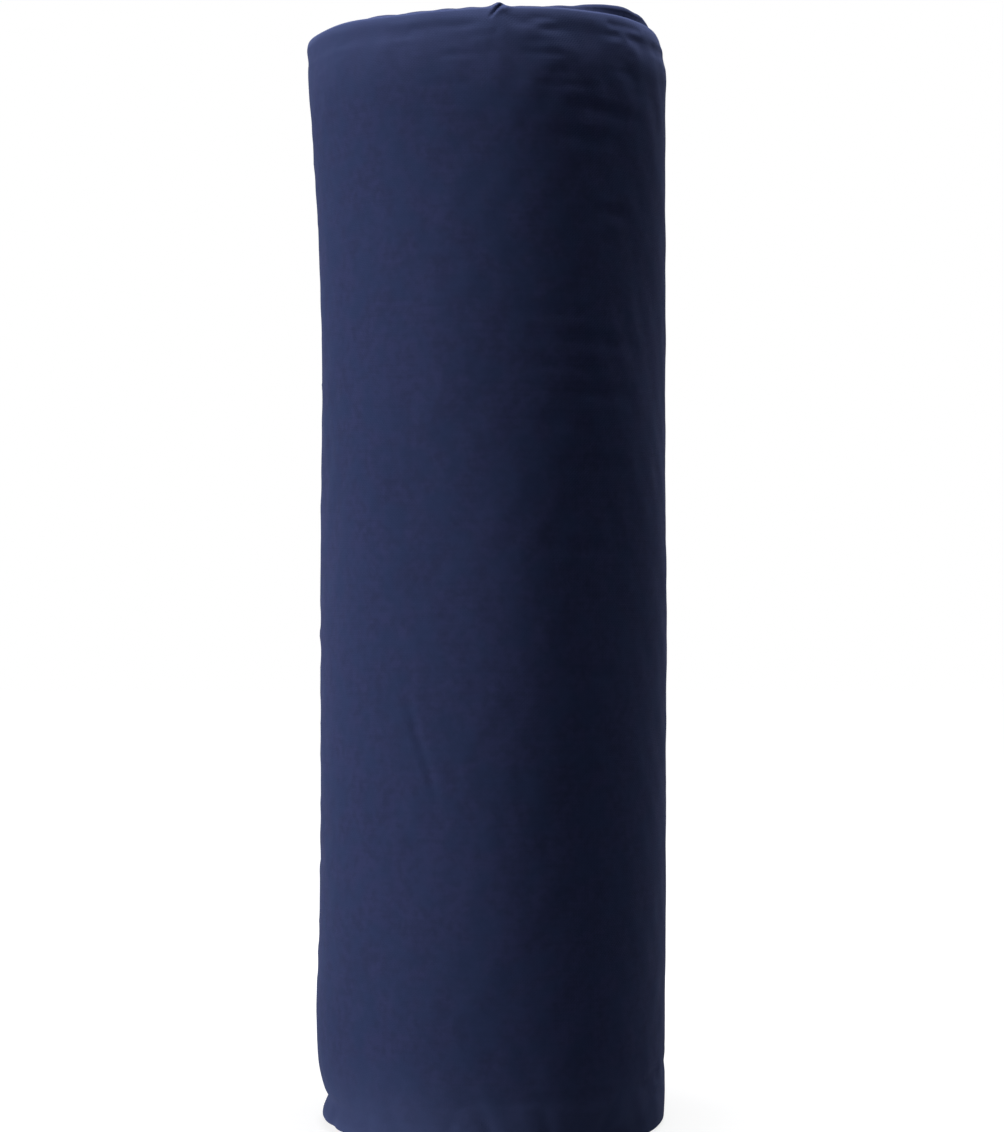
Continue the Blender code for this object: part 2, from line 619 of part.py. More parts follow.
def make_handle():
    """Webbing across the top: each end is turned under and sewn down, and the middle bows up for a hand."""
    grip = HANDLE_REACH - HANDLE_SEWN
    step = WEBBING / 4
    right = np.concatenate([[0.0], np.linspace(grip / 2, grip - step, 6), [grip, (grip + HANDLE_REACH) / 2]])
    right = np.append(right, HANDLE_REACH)
    across = np.concatenate([-right[:0:-1], right])
    doubled = np.abs(across) >= grip
    bow = HANDLE_BOW * smooth((grip - np.abs(across)) / (grip / 2))
    foot = panel_height(across, 0.0 * across) + CLEARANCE
    top = foot + 2 * WEBBING + bow
    under = np.where(doubled, foot, top - WEBBING)
    half = HANDLE_WIDTH / 2
    sections = [
        [(x, -half, low), (x, half, low), (x, half, high), (x, -half, high)]
        for x, low, high in zip(across, under, top)
    ]
    finish(tube("carry_handle", sections), WEBBING_BLUE)


def make_patch(name, side):
    """A square of cover cloth inside the top panel, which the handle's stitches go through."""
    x = side * np.linspace(HANDLE_REACH - HANDLE_SEWN - PATCH_MARGIN, HANDLE_REACH + PATCH_MARGIN, 4)
    half = HANDLE_WIDTH / 2 + PATCH_MARGIN
    y = side * np.linspace(-half, half, 4)
    grid_x, grid_y = np.meshgrid(x, y, indexing="ij")
    height = panel_height(grid_x, grid_y) - COVER_CLOTH - PATCH_DROP
    points = np.stack([grid_x, grid_y, height], axis=-1).reshape(-1, 3)
    faces = [tuple(reversed(face)) for face in loft_faces(4, 4, wraps=False)]
    patch = solidify(add_object(name, points, faces, closed=False), PATCH_CLOTH)
    finish(patch, COTTON)


make_cover()
make_liner()
make_pads()
make_roll()
for place, way, tooth_offset in (("front", 1, 0.0), ("back", -1, TOOTH_PITCH / 2)):
    make_tape("zip_tape_" + place, way)
    make_teeth("zip_teeth_" + place, way, SLIDER_HEIGHT + CLEARANCE + tooth_offset)
    make_stop("zip_stop_" + place, way)
make_end_stop()
make_slider()
make_pull()
print(f"zip_slider: {SLIDER_TRAVEL * 1000:.1f} mm of travel, from {SLIDER_HEIGHT * 1000:.1f} mm above the floor")
make_handle()
make_patch("handle_patch_right", 1)
make_patch("handle_patch_left", -1)
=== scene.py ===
import json
import math

import bmesh
import bpy
import numpy as np
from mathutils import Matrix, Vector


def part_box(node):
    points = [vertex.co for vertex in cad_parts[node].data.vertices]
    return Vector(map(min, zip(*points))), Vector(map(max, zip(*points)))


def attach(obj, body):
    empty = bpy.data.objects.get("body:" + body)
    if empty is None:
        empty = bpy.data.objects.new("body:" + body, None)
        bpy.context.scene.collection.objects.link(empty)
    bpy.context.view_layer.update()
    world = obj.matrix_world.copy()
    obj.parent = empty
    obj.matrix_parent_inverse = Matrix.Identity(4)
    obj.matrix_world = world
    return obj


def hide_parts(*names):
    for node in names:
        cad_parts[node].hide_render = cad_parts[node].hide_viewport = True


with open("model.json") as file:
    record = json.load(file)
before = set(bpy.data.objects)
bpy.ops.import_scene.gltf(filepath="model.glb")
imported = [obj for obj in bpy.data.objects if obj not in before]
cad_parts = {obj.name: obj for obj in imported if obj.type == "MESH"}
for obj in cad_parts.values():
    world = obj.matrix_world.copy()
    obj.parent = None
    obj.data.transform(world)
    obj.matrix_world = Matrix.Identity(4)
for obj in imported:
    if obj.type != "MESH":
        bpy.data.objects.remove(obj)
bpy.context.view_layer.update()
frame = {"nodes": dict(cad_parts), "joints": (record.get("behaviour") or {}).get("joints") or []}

# Sizes that the frame gives, in metres and radians. The bolster's axis is Z and its front faces -Y
mm = 0.001
fullTurn = 2 * math.pi
wrapLow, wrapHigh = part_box("cover_wrap")
radius = wrapHigh.x                      # of the straight wrap
bottomSeam, topSeam = wrapLow.z, wrapHigh.z
hinge = next(joint for joint in frame["joints"] if joint["child"] == "pull")["pos_m"]
zipAngle = math.atan2(hinge[1], hinge[0])
tapeFoot, tapeHead = (corner.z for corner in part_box("zip_tape_front"))
toothFoot, toothHead = (corner.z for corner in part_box("zip_teeth_front"))
stopFoot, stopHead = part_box("zip_stop_front")[0].z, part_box("zip_end_stop")[1].z
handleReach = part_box("carry_handle")[1].x
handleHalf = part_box("carry_handle")[1].y
print("frame: wrap radius %.1f mm, seams at %.1f and %.1f mm" % (radius / mm, bottomSeam / mm, topSeam / mm))


def addObject(name, data):
    # an object at the origin, linked to the scene
    made = bpy.data.objects.new(name, data)
    bpy.context.scene.collection.objects.link(made)
    return made


# Camera, level with the bolster's middle and a little to the right of its axis
camera = {"place": (0.006, -1.75, 0.3663), "lens": 83.7, "sensor": 36.0, "nearest": 0.05}
cameraData = bpy.data.cameras.new("camera")
cameraData.lens = camera["lens"]
cameraData.sensor_width = camera["sensor"]
cameraData.clip_start = camera["nearest"]
cameraObject = addObject("camera", cameraData)
cameraObject.location = camera["place"]
cameraObject.rotation_euler = (math.pi / 2, 0, 0)
bpy.context.scene.camera = cameraObject
bpy.context.scene.view_settings.view_transform = "Standard"


# Small tools for arrays and meshes
def smoothStep(value):
    # an S-curve: 0 below 0, 1 above 1 and 3v^2 - 2v^3 between
    value = np.clip(value, 0.0, 1.0)
    return value * value * (3.0 - 2.0 * value)


def hump(value):
    # a bell curve, e to the power -v^2: 1 at 0 and about a third at 1
    return np.exp(-np.square(value))


def cylinder(distance, angle, height):
    # points from their distance to the bolster's axis, their angle round it and their height
    return np.stack(np.broadcast_arrays(distance * np.cos(angle), distance * np.sin(angle), height), axis=-1)


def toSeam(height):
    # the distance to the nearer end seam
    return np.minimum(height - bottomSeam, topSeam - height)


def fromFront(angle, place):
    # the angle from a place that is given in degrees from the front, positive to the right
    return (angle + math.pi / 2 - math.radians(place) + math.pi) % fullTurn - math.pi


def curveThrough(at, points):
    # a smooth curve through (place, value) points in mm: cubic pieces whose slopes come from the neighbours
    places, values = np.asarray(points, float).T * mm
    slopes = np.gradient(values, places)
    at = np.clip(at, places[0], places[-1])
    cell = np.clip(np.searchsorted(places, at, side="right") - 1, 0, len(places) - 2)
    span = places[cell + 1] - places[cell]
    share = (at - places[cell]) / span
    fromStart = (2 * share ** 3 - 3 * share ** 2 + 1) * values[cell]
    fromStart += (share ** 3 - 2 * share ** 2 + share) * span * slopes[cell]
    toEnd = (3 * share ** 2 - 2 * share ** 3) * values[cell + 1]
    return fromStart + toEnd + (share ** 3 - share ** 2) * span * slopes[cell + 1]


def spread(low, high, spacingAt):
    # places from low to high at a spacing that varies: the inverse of the summed density
    fine = np.linspace(low, high, 6001)
    density = 1.0 / spacingAt(fine)
    summed = np.concatenate([[0.0], np.cumsum((density[1:] + density[:-1]) / 2 * np.diff(fine))])
    return np.interp(np.linspace(0.0, summed[-1], round(summed[-1]) + 1), summed, fine)


def waves(angle, height, rise, count, turns, tilts, seed):
    # a sum of cosines, about as high as the rise. Each has a random whole number of turns round the bolster,
    # a random number of turns per metre up or down it, and a random start
    draw = np.random.default_rng(seed)
    total = np.zeros(np.broadcast(angle, height).shape)
    for step in range(count):
        around = draw.integers(*turns)
        up = draw.uniform(*tilts) * draw.choice([-1, 1]) * fullTurn
        total += np.cos(around * angle + up * height + draw.uniform(0, fullTurn))
    return rise * (total / math.sqrt(count / 2))


def sampleGrid(field, row, column):
    # reads a grid that closes round its columns at fractional places, with cubic weights both ways
    rows, columns = field.shape
    total = np.zeros(np.broadcast(row, column).shape)
    baseRow, baseColumn = np.floor(row).astype(int), np.floor(column).astype(int)
    for stepRow in (-1, 0, 1, 2):
        for stepColumn in (-1, 0, 1, 2):
            weight = cubicWeight(row - baseRow - stepRow) * cubicWeight(column - baseColumn - stepColumn)
            atRow = np.clip(baseRow + stepRow, 0, rows - 1)
            total += weight * field[atRow, (baseColumn + stepColumn) % columns]
    return total


def cubicWeight(distance):
    # the Catmull-Rom weight of a sample at a distance of up to 2 cells
    away = np.abs(distance)
    near = 1.5 * away ** 3 - 2.5 * away ** 2 + 1
    far = -0.5 * away ** 3 + 2.5 * away ** 2 - 4 * away + 2
    return np.where(away < 1, near, np.where(away < 2, far, 0.0))


def gridFaces(rows, columns, start=0, closed=False):
    # quads over a grid of points, rows by columns, closed round its columns or open
    index = start + np.arange(rows * columns).reshape(rows, columns)
    if closed:
        index = np.concatenate([index, index[:, :1]], axis=1)
    corners = [index[:-1, :-1], index[:-1, 1:], index[1:, 1:], index[1:, :-1]]
    return np.stack(corners, axis=-1).reshape(-1, 4)


def globeFaces(rows, columns):
    # a closed surface: one point, rows of points round the axis and one last point
    around, last = np.arange(columns), rows * columns + 1
    following = (around + 1) % columns
    foot = np.stack([0 * around, 1 + following, 1 + around], axis=1)
    head = np.stack([0 * around + last, last - columns + around, last - columns + following], axis=1)
    return [gridFaces(rows, columns, 1, closed=True), foot, head]


def tubeFaces(count, rows, columns, start=0):
    # separate closed tubes, one after the other, each with a face over both of its ends
    shift = start + np.arange(count)[:, None, None] * rows * columns
    sides = gridFaces(rows, columns, closed=True)[None] + shift
    ends = np.stack([np.arange(columns)[::-1], (rows - 1) * columns + np.arange(columns)])
    return [sides.reshape(-1, 4), (ends[None] + shift).reshape(-1, columns)]


def stripFaces(many, few, kept):
    # triangles between a line of points and a line beside it that has partners for the kept ones only
    partner = np.clip(np.searchsorted(kept, np.arange(len(many)), side="right") - 1, 0, None)
    first = np.stack([many[:-1], many[1:], few[partner[:-1]]], axis=1)
    step = np.nonzero(np.diff(partner))[0]
    second = np.stack([many[step + 1], few[partner[step] + 1], few[partner[step]]], axis=1)
    return np.concatenate([first, second])


def meshFrom(name, points, groups):
    # a mesh from an array of points and groups of faces
    mesh = bpy.data.meshes.new(name)
    corners = [face for group in groups for face in group.tolist()]
    mesh.from_pydata(np.asarray(points).reshape(-1, 3).tolist(), [], corners)
    return mesh


def makeMesh(name, points, groups, uv=None):
    # a smooth piece that rides on the bolster, with its faces turned out and an optional UV per point
    mesh = meshFrom(name, points, groups)
    if uv is not None:
        loops = np.empty(len(mesh.loops), np.int32)
        mesh.loops.foreach_get("vertex_index", loops)
        layer = mesh.uv_layers.new(name="cloth")
        layer.data.foreach_set("uv", np.asarray(uv, np.float32).reshape(-1, 2)[loops].ravel())
    work = bmesh.new()
    work.from_mesh(mesh)
    bmesh.ops.recalc_face_normals(work, faces=work.faces)
    work.to_mesh(mesh)
    work.free()
    mesh.shade_smooth()
    made = addObject(name, mesh)
    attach(made, "bolster")
    return made


def dress(piece, material, slotName, *nodes):
    # gives a piece its material and hides the CAD nodes that it stands for; the slot name is not used
    piece.data.materials.clear()
    piece.data.materials.append(material)
    if nodes:
        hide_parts(*nodes)
    return piece


# Small tools for materials
def toLinear(hexColour):
    # turns an sRGB hex value into the linear colour that a shader takes
    channels = [int(hexColour[place:place + 2], 16) / 255 for place in (1, 3, 5)]
    return (*(((c + 0.055) / 1.055) ** 2.4 if c > 0.04045 else c / 12.92 for c in channels), 1.0)


def addNode(owner, kind, inputs=None, **settings):
    # adds a node to a material or the world. Inputs are values, or the sockets of other nodes to link
    node = owner.node_tree.nodes.new("ShaderNode" + kind)
    for name, value in settings.items():
        setattr(node, name, value)
    for name, value in (inputs or {}).items():
        if isinstance(value, bpy.types.NodeSocket):
            owner.node_tree.links.new(value, node.inputs[name])
        else:
            node.inputs[name].default_value = value
    return node


def newMaterial(name, **shaderValues):
    # a Principled material with its constants set on the shader's own sockets
    material = bpy.data.materials.new(name)
    material.use_nodes = True
    shader = material.node_tree.nodes["Principled BSDF"]
    for socket, value in shaderValues.items():
        shader.inputs[socket.replace("_", " ")].default_value = value
    return material, shader


def weaveHeight(material, uv, pitch):
    # plain weave: |sin| ridges of warp and weft, swapped over and under by the sign of their product
    split = addNode(material, "SeparateXYZ", {0: uv})
    sines = []
    for axis in (0, 1):
        scaled = addNode(material, "Math", {0: split.outputs[axis], 1: math.pi / pitch}, operation="MULTIPLY")
        sines.append(addNode(material, "Math", {0: scaled.outputs[0]}, operation="SINE"))
    both = {0: sines[0].outputs[0], 1: sines[1].outputs[0]}
    product = addNode(material, "Math", both, operation="MULTIPLY")
    over = addNode(material, "Math", {0: product.outputs[0], 1: 0.0}, operation="GREATER_THAN")
    ridges = [addNode(material, "Math", {0: sine.outputs[0]}, operation="ABSOLUTE") for sine in sines]
    return addNode(material, "Mix", {0: over.outputs[0], 2: ridges[0].outputs[0], 3: ridges[1].outputs[0]})


# Woven cotton, medium-weight plain weave, dyed navy: matt, with a soft pale fuzz where it turns away
cottonLook = {
    "colour": "#2f355a",
    "deep": "#293051",
    # the pale colour: rubbed wear at the seams, and on the wrap a broad band of painted light near both ends
    "wornAndLit": "#414b72",         # along the seams
    "cast": "#273457",         # a cooler cast that the dye has in places
    "fuzz": "#8c9ad0",
    "castPatch": 18 * mm,
    "pitch": 1.1 * mm,         # the real threads lie 0.45 mm apart, too fine to show, so these are coarser
    "slubLength": 60 * mm,
    "slubWidth": 2.2 * mm,
    "dyePatch": 90 * mm,
    "mottle": 5.5 * mm,
    "shares": (0.3, 0.2, 0.6),      # of dye, slubs and mottle in the pattern from deep to plain colour
    "plainRange": (0.45, 0.65),     # of that pattern
    "castRange": (0.42, 0.66),
    "castMost": 0.65,
    "weaveBump": (0.18, 0.3 * mm),  # strength and depth
    "slubBump": (0.08, 0.5 * mm),
}


def cottonMaterial():
    look = cottonLook
    material, shader = newMaterial(
        "navyCottonPlainWeave", Roughness=0.9, Specular_IOR_Level=0.12,
        Sheen_Weight=0.10, Sheen_Roughness=0.5, Sheen_Tint=toLinear(look["fuzz"]),
    )
    uv = addNode(material, "UVMap", uv_map="cloth").outputs[0]
    place = addNode(material, "TexCoord").outputs["Object"]
    dye = addNode(material, "TexNoise", {"Vector": place, "Scale": 1 / look["dyePatch"], "Detail": 3.0})
    stretch = (1 / look["slubLength"], 1 / look["slubWidth"], 1.0)
    alongWeft = addNode(material, "Mapping", {"Vector": uv, "Scale": stretch})
    slub = addNode(material, "TexNoise", {"Vector": alongWeft.outputs[0], "Scale": 1.0, "Detail": 2.0})
    mottle = addNode(material, "TexNoise", {"Vector": place, "Scale": 1 / look["mottle"], "Detail": 2.0})
    mixed = None
    for pattern, share in zip((dye, slub, mottle), look["shares"]):
        inputs = {0: pattern.outputs[0], 1: share, 2: mixed.outputs[0] if mixed else 0.0}
        mixed = addNode(material, "Math", inputs, operation="MULTIPLY_ADD")
    low, high = look["plainRange"]
    level = addNode(material, "MapRange", {0: mixed.outputs[0], 1: low, 2: high})
    colours = {0: level.outputs[0], 6: toLinear(look["deep"]), 7: toLinear(look["colour"])}
    dyed = addNode(material, "Mix", colours, data_type="RGBA")
    cast = addNode(material, "TexNoise", {"Vector": place, "Scale": 1 / look["castPatch"], "Detail": 2.0})
    low, high = look["castRange"]
    castLevel = addNode(material, "MapRange", {0: cast.outputs[0], 1: low, 2: high, 4: look["castMost"]})
    tints = {0: castLevel.outputs[0], 6: dyed.outputs[2], 7: toLinear(look["cast"])}
    tinted = addNode(material, "Mix", tints, data_type="RGBA")
    # paler where the attribute says: rubbed wear along the seams, and painted light near the wrap's ends
    wearAndPaintedLight = addNode(material, "Attribute", attribute_name="wearAndPaintedLight")
    wornAndLit = {0: wearAndPaintedLight.outputs["Fac"], 6: tinted.outputs[2], 7: toLinear(look["wornAndLit"])}
    finished = addNode(material, "Mix", wornAndLit, data_type="RGBA")
    weave = weaveHeight(material, uv, look["pitch"])
    strength, depth = look["weaveBump"]
    fine = addNode(material, "Bump", {"Height": weave.outputs[0], "Strength": strength, "Distance": depth})
    strength, depth = look["slubBump"]
    slubs = {"Height": slub.outputs[0], "Strength": strength, "Distance": depth, "Normal": fine.outputs[0]}
    cloth = addNode(material, "Bump", slubs)
    material.node_tree.links.new(finished.outputs[2], shader.inputs["Base Color"])
    material.node_tree.links.new(cloth.outputs[0], shader.inputs["Normal"])
    return material


def mottledMaterial(name, dark, light, noise, **shaderValues):
    # a material whose colour goes from dark to light on a noise. It gives the noise's socket too
    material, shader = newMaterial(name, **shaderValues)
    place = addNode(material, "TexCoord").outputs["Object"]
    level = addNode(material, "TexNoise", {"Vector": place, **noise}).outputs[0]
    colours = {0: level, 6: toLinear(dark), 7: toLinear(light)}
    mixed = addNode(material, "Mix", colours, data_type="RGBA")
    material.node_tree.links.new(mixed.outputs[2], shader.inputs["Base Color"])
    return material, shader, level


def plainClothMaterial(name, light, dark, pitch, roughness, sheen, strength=0.5):
    # a cloth in two close colours with a weave on its UV, and a fuzz of the lighter colour
    noise = {"Scale": 0.06 / mm, "Detail": 4.0}
    material, shader, patches = mottledMaterial(
        name, dark, light, noise, Roughness=roughness, Specular_IOR_Level=0.2,
        Sheen_Weight=sheen, Sheen_Roughness=0.4, Sheen_Tint=toLinear(light),
    )
    weave = weaveHeight(material, addNode(material, "UVMap", uv_map="cloth").outputs[0], pitch)
    bump = addNode(material, "Bump", {"Height": weave.outputs[0], "Strength": strength, "Distance": 0.3 * mm})
    material.node_tree.links.new(bump.outputs[0], shader.inputs["Normal"])
    return material


def battingMaterial():
    # cotton batting, carded fibres in a soft mat: pale, very rough, with a fibrous nap
    noise = {"Scale": 0.5 / mm, "Detail": 5.0, "Distortion": 1.5}
    material, shader, fibres = mottledMaterial(
        "cottonBatting", "#cfc6b0", "#efe9da", noise, Roughness=0.95, Sheen_Weight=0.5, Sheen_Roughness=0.6
    )
    bump = addNode(material, "Bump", {"Height": fibres, "Strength": 0.8, "Distance": 1.0 * mm})
    material.node_tree.links.new(bump.outputs[0], shader.inputs["Normal"])
    return material


def zincMaterial():
    # die-cast zinc under black enamel: smooth, with a faint orange peel and rubbed edges
    noise = {"Scale": 0.7 / mm, "Detail": 3.0}
    material, shader, rub = mottledMaterial(
        "blackEnamelledZinc", "#26272b", "#4a4b50", noise, Metallic=0.85, Roughness=0.32
    )
    rough = addNode(material, "MapRange", {0: rub, 3: 0.24, 4: 0.42})
    bump = addNode(material, "Bump", {"Height": rub, "Strength": 0.15, "Distance": 0.1 * mm})
    material.node_tree.links.new(rough.outputs[0], shader.inputs["Roughness"])
    material.node_tree.links.new(bump.outputs[0], shader.inputs["Normal"])
    return material


def acetalMaterial():
    # moulded acetal, dyed in the mass: satin, slightly waxy
    noise = {"Scale": 0.35 / mm, "Detail": 2.0}
    material, shader, cloud = mottledMaterial(
        "navyAcetal", "#1f2540", "#2a3152", noise, Roughness=0.38, IOR=1.48
    )
    rough = addNode(material, "MapRange", {0: cloud, 3: 0.32, 4: 0.46})
    material.node_tree.links.new(rough.outputs[0], shader.inputs["Roughness"])
    return material


cotton = cottonMaterial()
webbing = plainClothMaterial("navyCottonWebbing", "#2b3253", "#20263f", 1.5 * mm, 0.8, 0.3, 0.9)
zipTapeCloth = plainClothMaterial("navyPolyesterTape", "#262c48", "#1d2239", 0.9 * mm, 0.65, 0.2, 0.6)
thread = plainClothMaterial("navyPolyesterThread", "#3b4468", "#2b3252", 0.4 * mm, 0.55, 0.3, 0.6)
calico = plainClothMaterial("unbleachedCalico", "#e2d9c4", "#cfc4ab", 1.0 * mm, 0.9, 0.2)
batting = battingMaterial()
zinc = zincMaterial()
acetal = acetalMaterial()
print("materials: made")


# The wrap's form. Profiles are (height, offset) in mm: how far its side stands outside the plain radius.
# Sets of waves, here and below, are what waves() takes after the height
wrapForm = {
    "left": [(3, -1.3), (8, -2.0), (12, -3.4), (16.5, -4.9), (24, -2.2), (34, 0.5), (50, 2.0), (76, 2.7),
             (104, 1.4), (160, 0.2), (240, 0), (540, 0), (583, 1.2), (620, 2.8), (655, 5.0), (680, 6.9),
             (700, 8.3), (709, 8.8), (714, 8.0)],
    "right": [(3, -1.2), (12, -0.9), (38, -1.2), (60, -0.8), (110, 0), (600, 0.1), (640, 0.5), (676, 0.5),
              (687, 0.5), (698, -1.0), (706, -2.8), (711, -4.8), (714, -6.4)],
    "middle": [(3, -2.0), (9, -1.1), (20, -0.3), (36, 0), (640, 0), (664, -0.6), (682, -2.0), (697, -4.2),
               (707, -6.4), (714, -8.4)],
    "cloth": 1.0 * mm,
    "fold": 1.8 * mm,          # radius of the turned edge at an end seam
    "backing": 2.6 * mm,       # of the doubled cloth there
    "slotHalf": 6.2 * mm,
    "tapeTail": 12 * mm,
    "seamGap": 0.15 * mm,
    # what each of these keeps clear of the zip: reach and fade, and the fade past its ends where one is given
    "profilesAtZip": (8 * mm, 16 * mm, 30 * mm),
    "lumpsAtZip": (9 * mm, 12 * mm),
    "gathersAtZip": (22 * mm, 16 * mm, 30 * mm),
    "lumpsAtSeam": 25 * mm,    # over this height they rise from an end seam
    "gathersAtSeam": 8 * mm,
    "swell": (0.35 * mm, 14, (2, 8), (1.5, 6), 11),
    "crumple": (0.10 * mm, 24, (8, 34), (8, 30), 12),
    "liftWaves": (0.25 * mm, 10, (4, 15), (0, 1), 21),
    "lift": 0.6 * mm,          # of the top seam over its plain height, and how much more on the right
    "liftRight": 2.4 * mm,
    "liftReach": 60 * mm,
    # (degrees from the front, half width in degrees, rise in mm) of places where the top seam stands higher
    "bumps": [(54, 20, 1.3), (15, 22, 1.6), (2.6, 2.4, 2.7), (-20, 7, 0.5), (-50, 16, 1.0)],
    "sink": 1.6 * mm,          # of the bottom seam, under the weight, and where it sinks more
    "sinkBumps": [(62, 14, 1.3), (-82, 22, -1.7)],
    "sinkReach": 26 * mm,
}
slotFoot, slotHead = tapeFoot + wrapForm["tapeTail"], tapeHead - wrapForm["tapeTail"]

# Creases and hollows on the cover: (degrees from the front, height mm) at both ends, then depth and width mm
creases = [
    ((-28, 285), (-17, 222), 1.5, 3.4),        # the slanting crease left of the middle
    ((-27, 545), (-27, 400), 0.9, 16),         # a long shallow hollow
    ((-24, 640), (-20, 560), 0.4, 12),
    ((36, 590), (48, 589), 1.1, 4.5),
    ((4, 527), (30, 523), 0.9, 4),
    ((14, 510), (52, 506), 1.1, 4.5),
    ((2, 494), (36, 490), 0.9, 4),
    ((20, 476), (50, 474), 1.1, 4.5),
    ((6, 460), (30, 455), 0.9, 4),
    ((22, 430), (48, 428), 0.9, 4.5),
    ((12, 380), (44, 377), 0.9, 4.5),
    ((24, 655), (54, 651), 1.0, 4.5),
    ((16, 636), (44, 634), 0.9, 4),
    ((20, 300), (46, 296), 0.7, 4.5),
    ((8, 236), (36, 232), 0.6, 4.5),
    ((18, 160), (50, 157), 0.6, 4.5),
    ((34, 54), (49, 48), 1.4, 16),             # the dark hollow low on the right
    ((30, 704), (56, 668), 0.7, 8),            # folds that fan out from the top right seam
    ((38, 708), (66, 690), 0.6, 6),
    ((22, 706), (34, 682), 0.5, 7),
    ((10, 700), (24, 650), 0.35, 9),
    ((46, 700), (74, 640), 0.4, 8),
    ((-0.5, 708), (6, 716), 2.8, 1.3),         # the tuck at the middle of the top seam
    ((-70, 0), (-64, 12), 2.4, 6),             # beside the sharp corner at the bottom left
    ((3, 706), (1, 692), 0.5, 4),
    ((-34, 708), (-30, 676), 0.5, 7),
    ((-52, 706), (-46, 660), 0.5, 9),
    ((34, 6), (44, 30), 1.0, 5),               # puckers over the bottom seam
    ((56, 3), (52, 24), 0.6, 7),
    ((33, 10), (66, 12), 1.3, 5),              # the fold along the bottom right
    ((20, 4), (16, 26), 0.8, 5),
    ((2, 3), (-4, 28), 0.9, 5),
    ((-16, 4), (-12, 22), 0.7, 4),
    ((-30, 6), (-36, 34), 0.9, 6),
    ((-46, 5), (-44, 24), 0.8, 5),
    ((120, 300), (150, 240), 0.8, 9),          # on the back and sides
    ((110, 560), (128, 470), 0.7, 12),
    ((-150, 330), (-132, 270), 0.8, 8),
    ((150, 640), (165, 560), 0.7, 9),
    ((-170, 160), (-150, 110), 0.7, 9),
    ((84, 420), (92, 330), 0.5, 12),
]


def creaseDepth(angle, height):
    # each crease is a valley along a line on the unrolled wrap: a bell curve of its width across, with 0.45 of
    # one 2.2 times as wide added for a low ridge on both sides, and 0.35 of its depth left at both ends
    across = fromFront(angle, 0) * radius
    total = np.zeros(np.broadcast(angle, height).shape)
    for start, end, depth, width in creases:
        x0, x1 = (math.radians(place[0]) * radius for place in (start, end))
        z0, z1 = start[1] * mm, end[1] * mm
        length = math.hypot(x1 - x0, z1 - z0)
        along = ((across - x0) * (x1 - x0) + (height - z0) * (z1 - z0)) / length ** 2
        away = ((across - x0) * (z1 - z0) - (height - z0) * (x1 - x0)) / length
        past = np.maximum(np.abs(along - 0.5) - 0.5, 0.0) * length
        off = np.hypot(away, past) / (width * mm)
        taper = 0.35 + 0.65 * np.clip(np.sin(np.clip(along, 0, 1) * math.pi), 0, 1)
        total += depth * mm * taper * (0.45 * hump(off / 2.2) - hump(off))
    return total


def zipOffset(angle):
    # the signed distance round the wrap from the zip's line, positive towards the front
    return ((angle - zipAngle + math.pi) % fullTurn - math.pi) * radius


def zipNearness(angle, height, reach, fade, endFade=10 * mm):
    # 1 beside the zip's tapes, falling to 0 over a fade past the reach, and over another past their two ends
    beside = 1 - smoothStep((np.abs(zipOffset(angle)) - reach) / fade)
    pastEnds = np.maximum(tapeFoot - height, height - tapeHead)
    return beside * (1 - smoothStep(pastEnds / endFade))


zipPuckers = {
    "height": 1.2 * mm, "start": 7.5 * mm, "peak": 12 * mm, "frontReach": 17 * mm, "backReach": 11 * mm,
    "mean": 0.45, "most": 1.5, "waves": (0.5, 9, (0, 2), (18, 55), 4),
    "calmFoot": 40 * mm, "calmHead": 25 * mm, "fade": 60 * mm,
}


def zipPucker(angle, height):
    # the cloth gathers beside the stiffer tape: outward ripples that rise from the slot's edge and die away
    form = zipPuckers
    off = zipOffset(angle)
    reach = np.where(off > 0, form["frontReach"], form["backReach"])
    rise = smoothStep((np.abs(off) - form["start"]) / (form["peak"] - form["start"]))
    fall = hump(np.maximum(np.abs(off) - form["peak"], 0) / reach)
    ripple = np.clip(form["mean"] + waves(np.sign(off), height, *form["waves"]), 0, form["most"])
    lengthwise = smoothStep((height - form["calmFoot"]) / form["fade"])
    lengthwise = lengthwise * smoothStep((topSeam - form["calmHead"] - height) / form["fade"])
    return form["height"] * rise * fall * ripple * lengthwise


def sideProfile(angle, height):
    # the three profiles, weighted by how far each angle faces left, right, or front and back. Beside the zip,
    # whose stiff tapes run straight, the wrap keeps its plain radius
    facing = np.cos(angle)
    left, right = np.clip(-facing, 0, 1) ** 2, np.clip(facing, 0, 1) ** 2
    offset = left * curveThrough(height, wrapForm["left"]) + right * curveThrough(height, wrapForm["right"])
    offset = offset + (1 - left - right) * curveThrough(height, wrapForm["middle"])
    return offset * (1 - zipNearness(angle, height, *wrapForm["profilesAtZip"]))


def lumps(angle, height):
    # the wound batting shows through as long soft swells, with a finer crumple over them
    return waves(angle, height, *wrapForm["swell"]) + waves(angle, height, *wrapForm["crumple"])


puff = {"wrap": None, "top": None}      # what the simulation adds, filled in below


def wrapRadius(angle, height, plain=False):
    # the wrap's outer radius: plain radius, profiles, swells, creases, zip ripples and simulated gathers
    form = wrapForm
    total = radius + sideProfile(angle, height)
    if plain:
        return total
    calm = 1 - zipNearness(angle, height, *form["lumpsAtZip"])
    uneven = lumps(angle, height) * smoothStep(toSeam(height) / form["lumpsAtSeam"])
    total = total + calm * (uneven + creaseDepth(angle, height))
    total = total + zipPucker(angle, height)
    if puff["wrap"] is not None:
        free = smoothStep(toSeam(height) / form["gathersAtSeam"])
        free = free * (1 - zipNearness(angle, height, *form["gathersAtZip"]))
        total = total + free * puffAt("wrap", angle, height)
    return total


def addBumps(total, angle, bumps):
    # adds bell curves round the bolster
    for place, half, rise in bumps:
        total = total + rise * mm * hump(fromFront(angle, place) / math.radians(half))
    return total


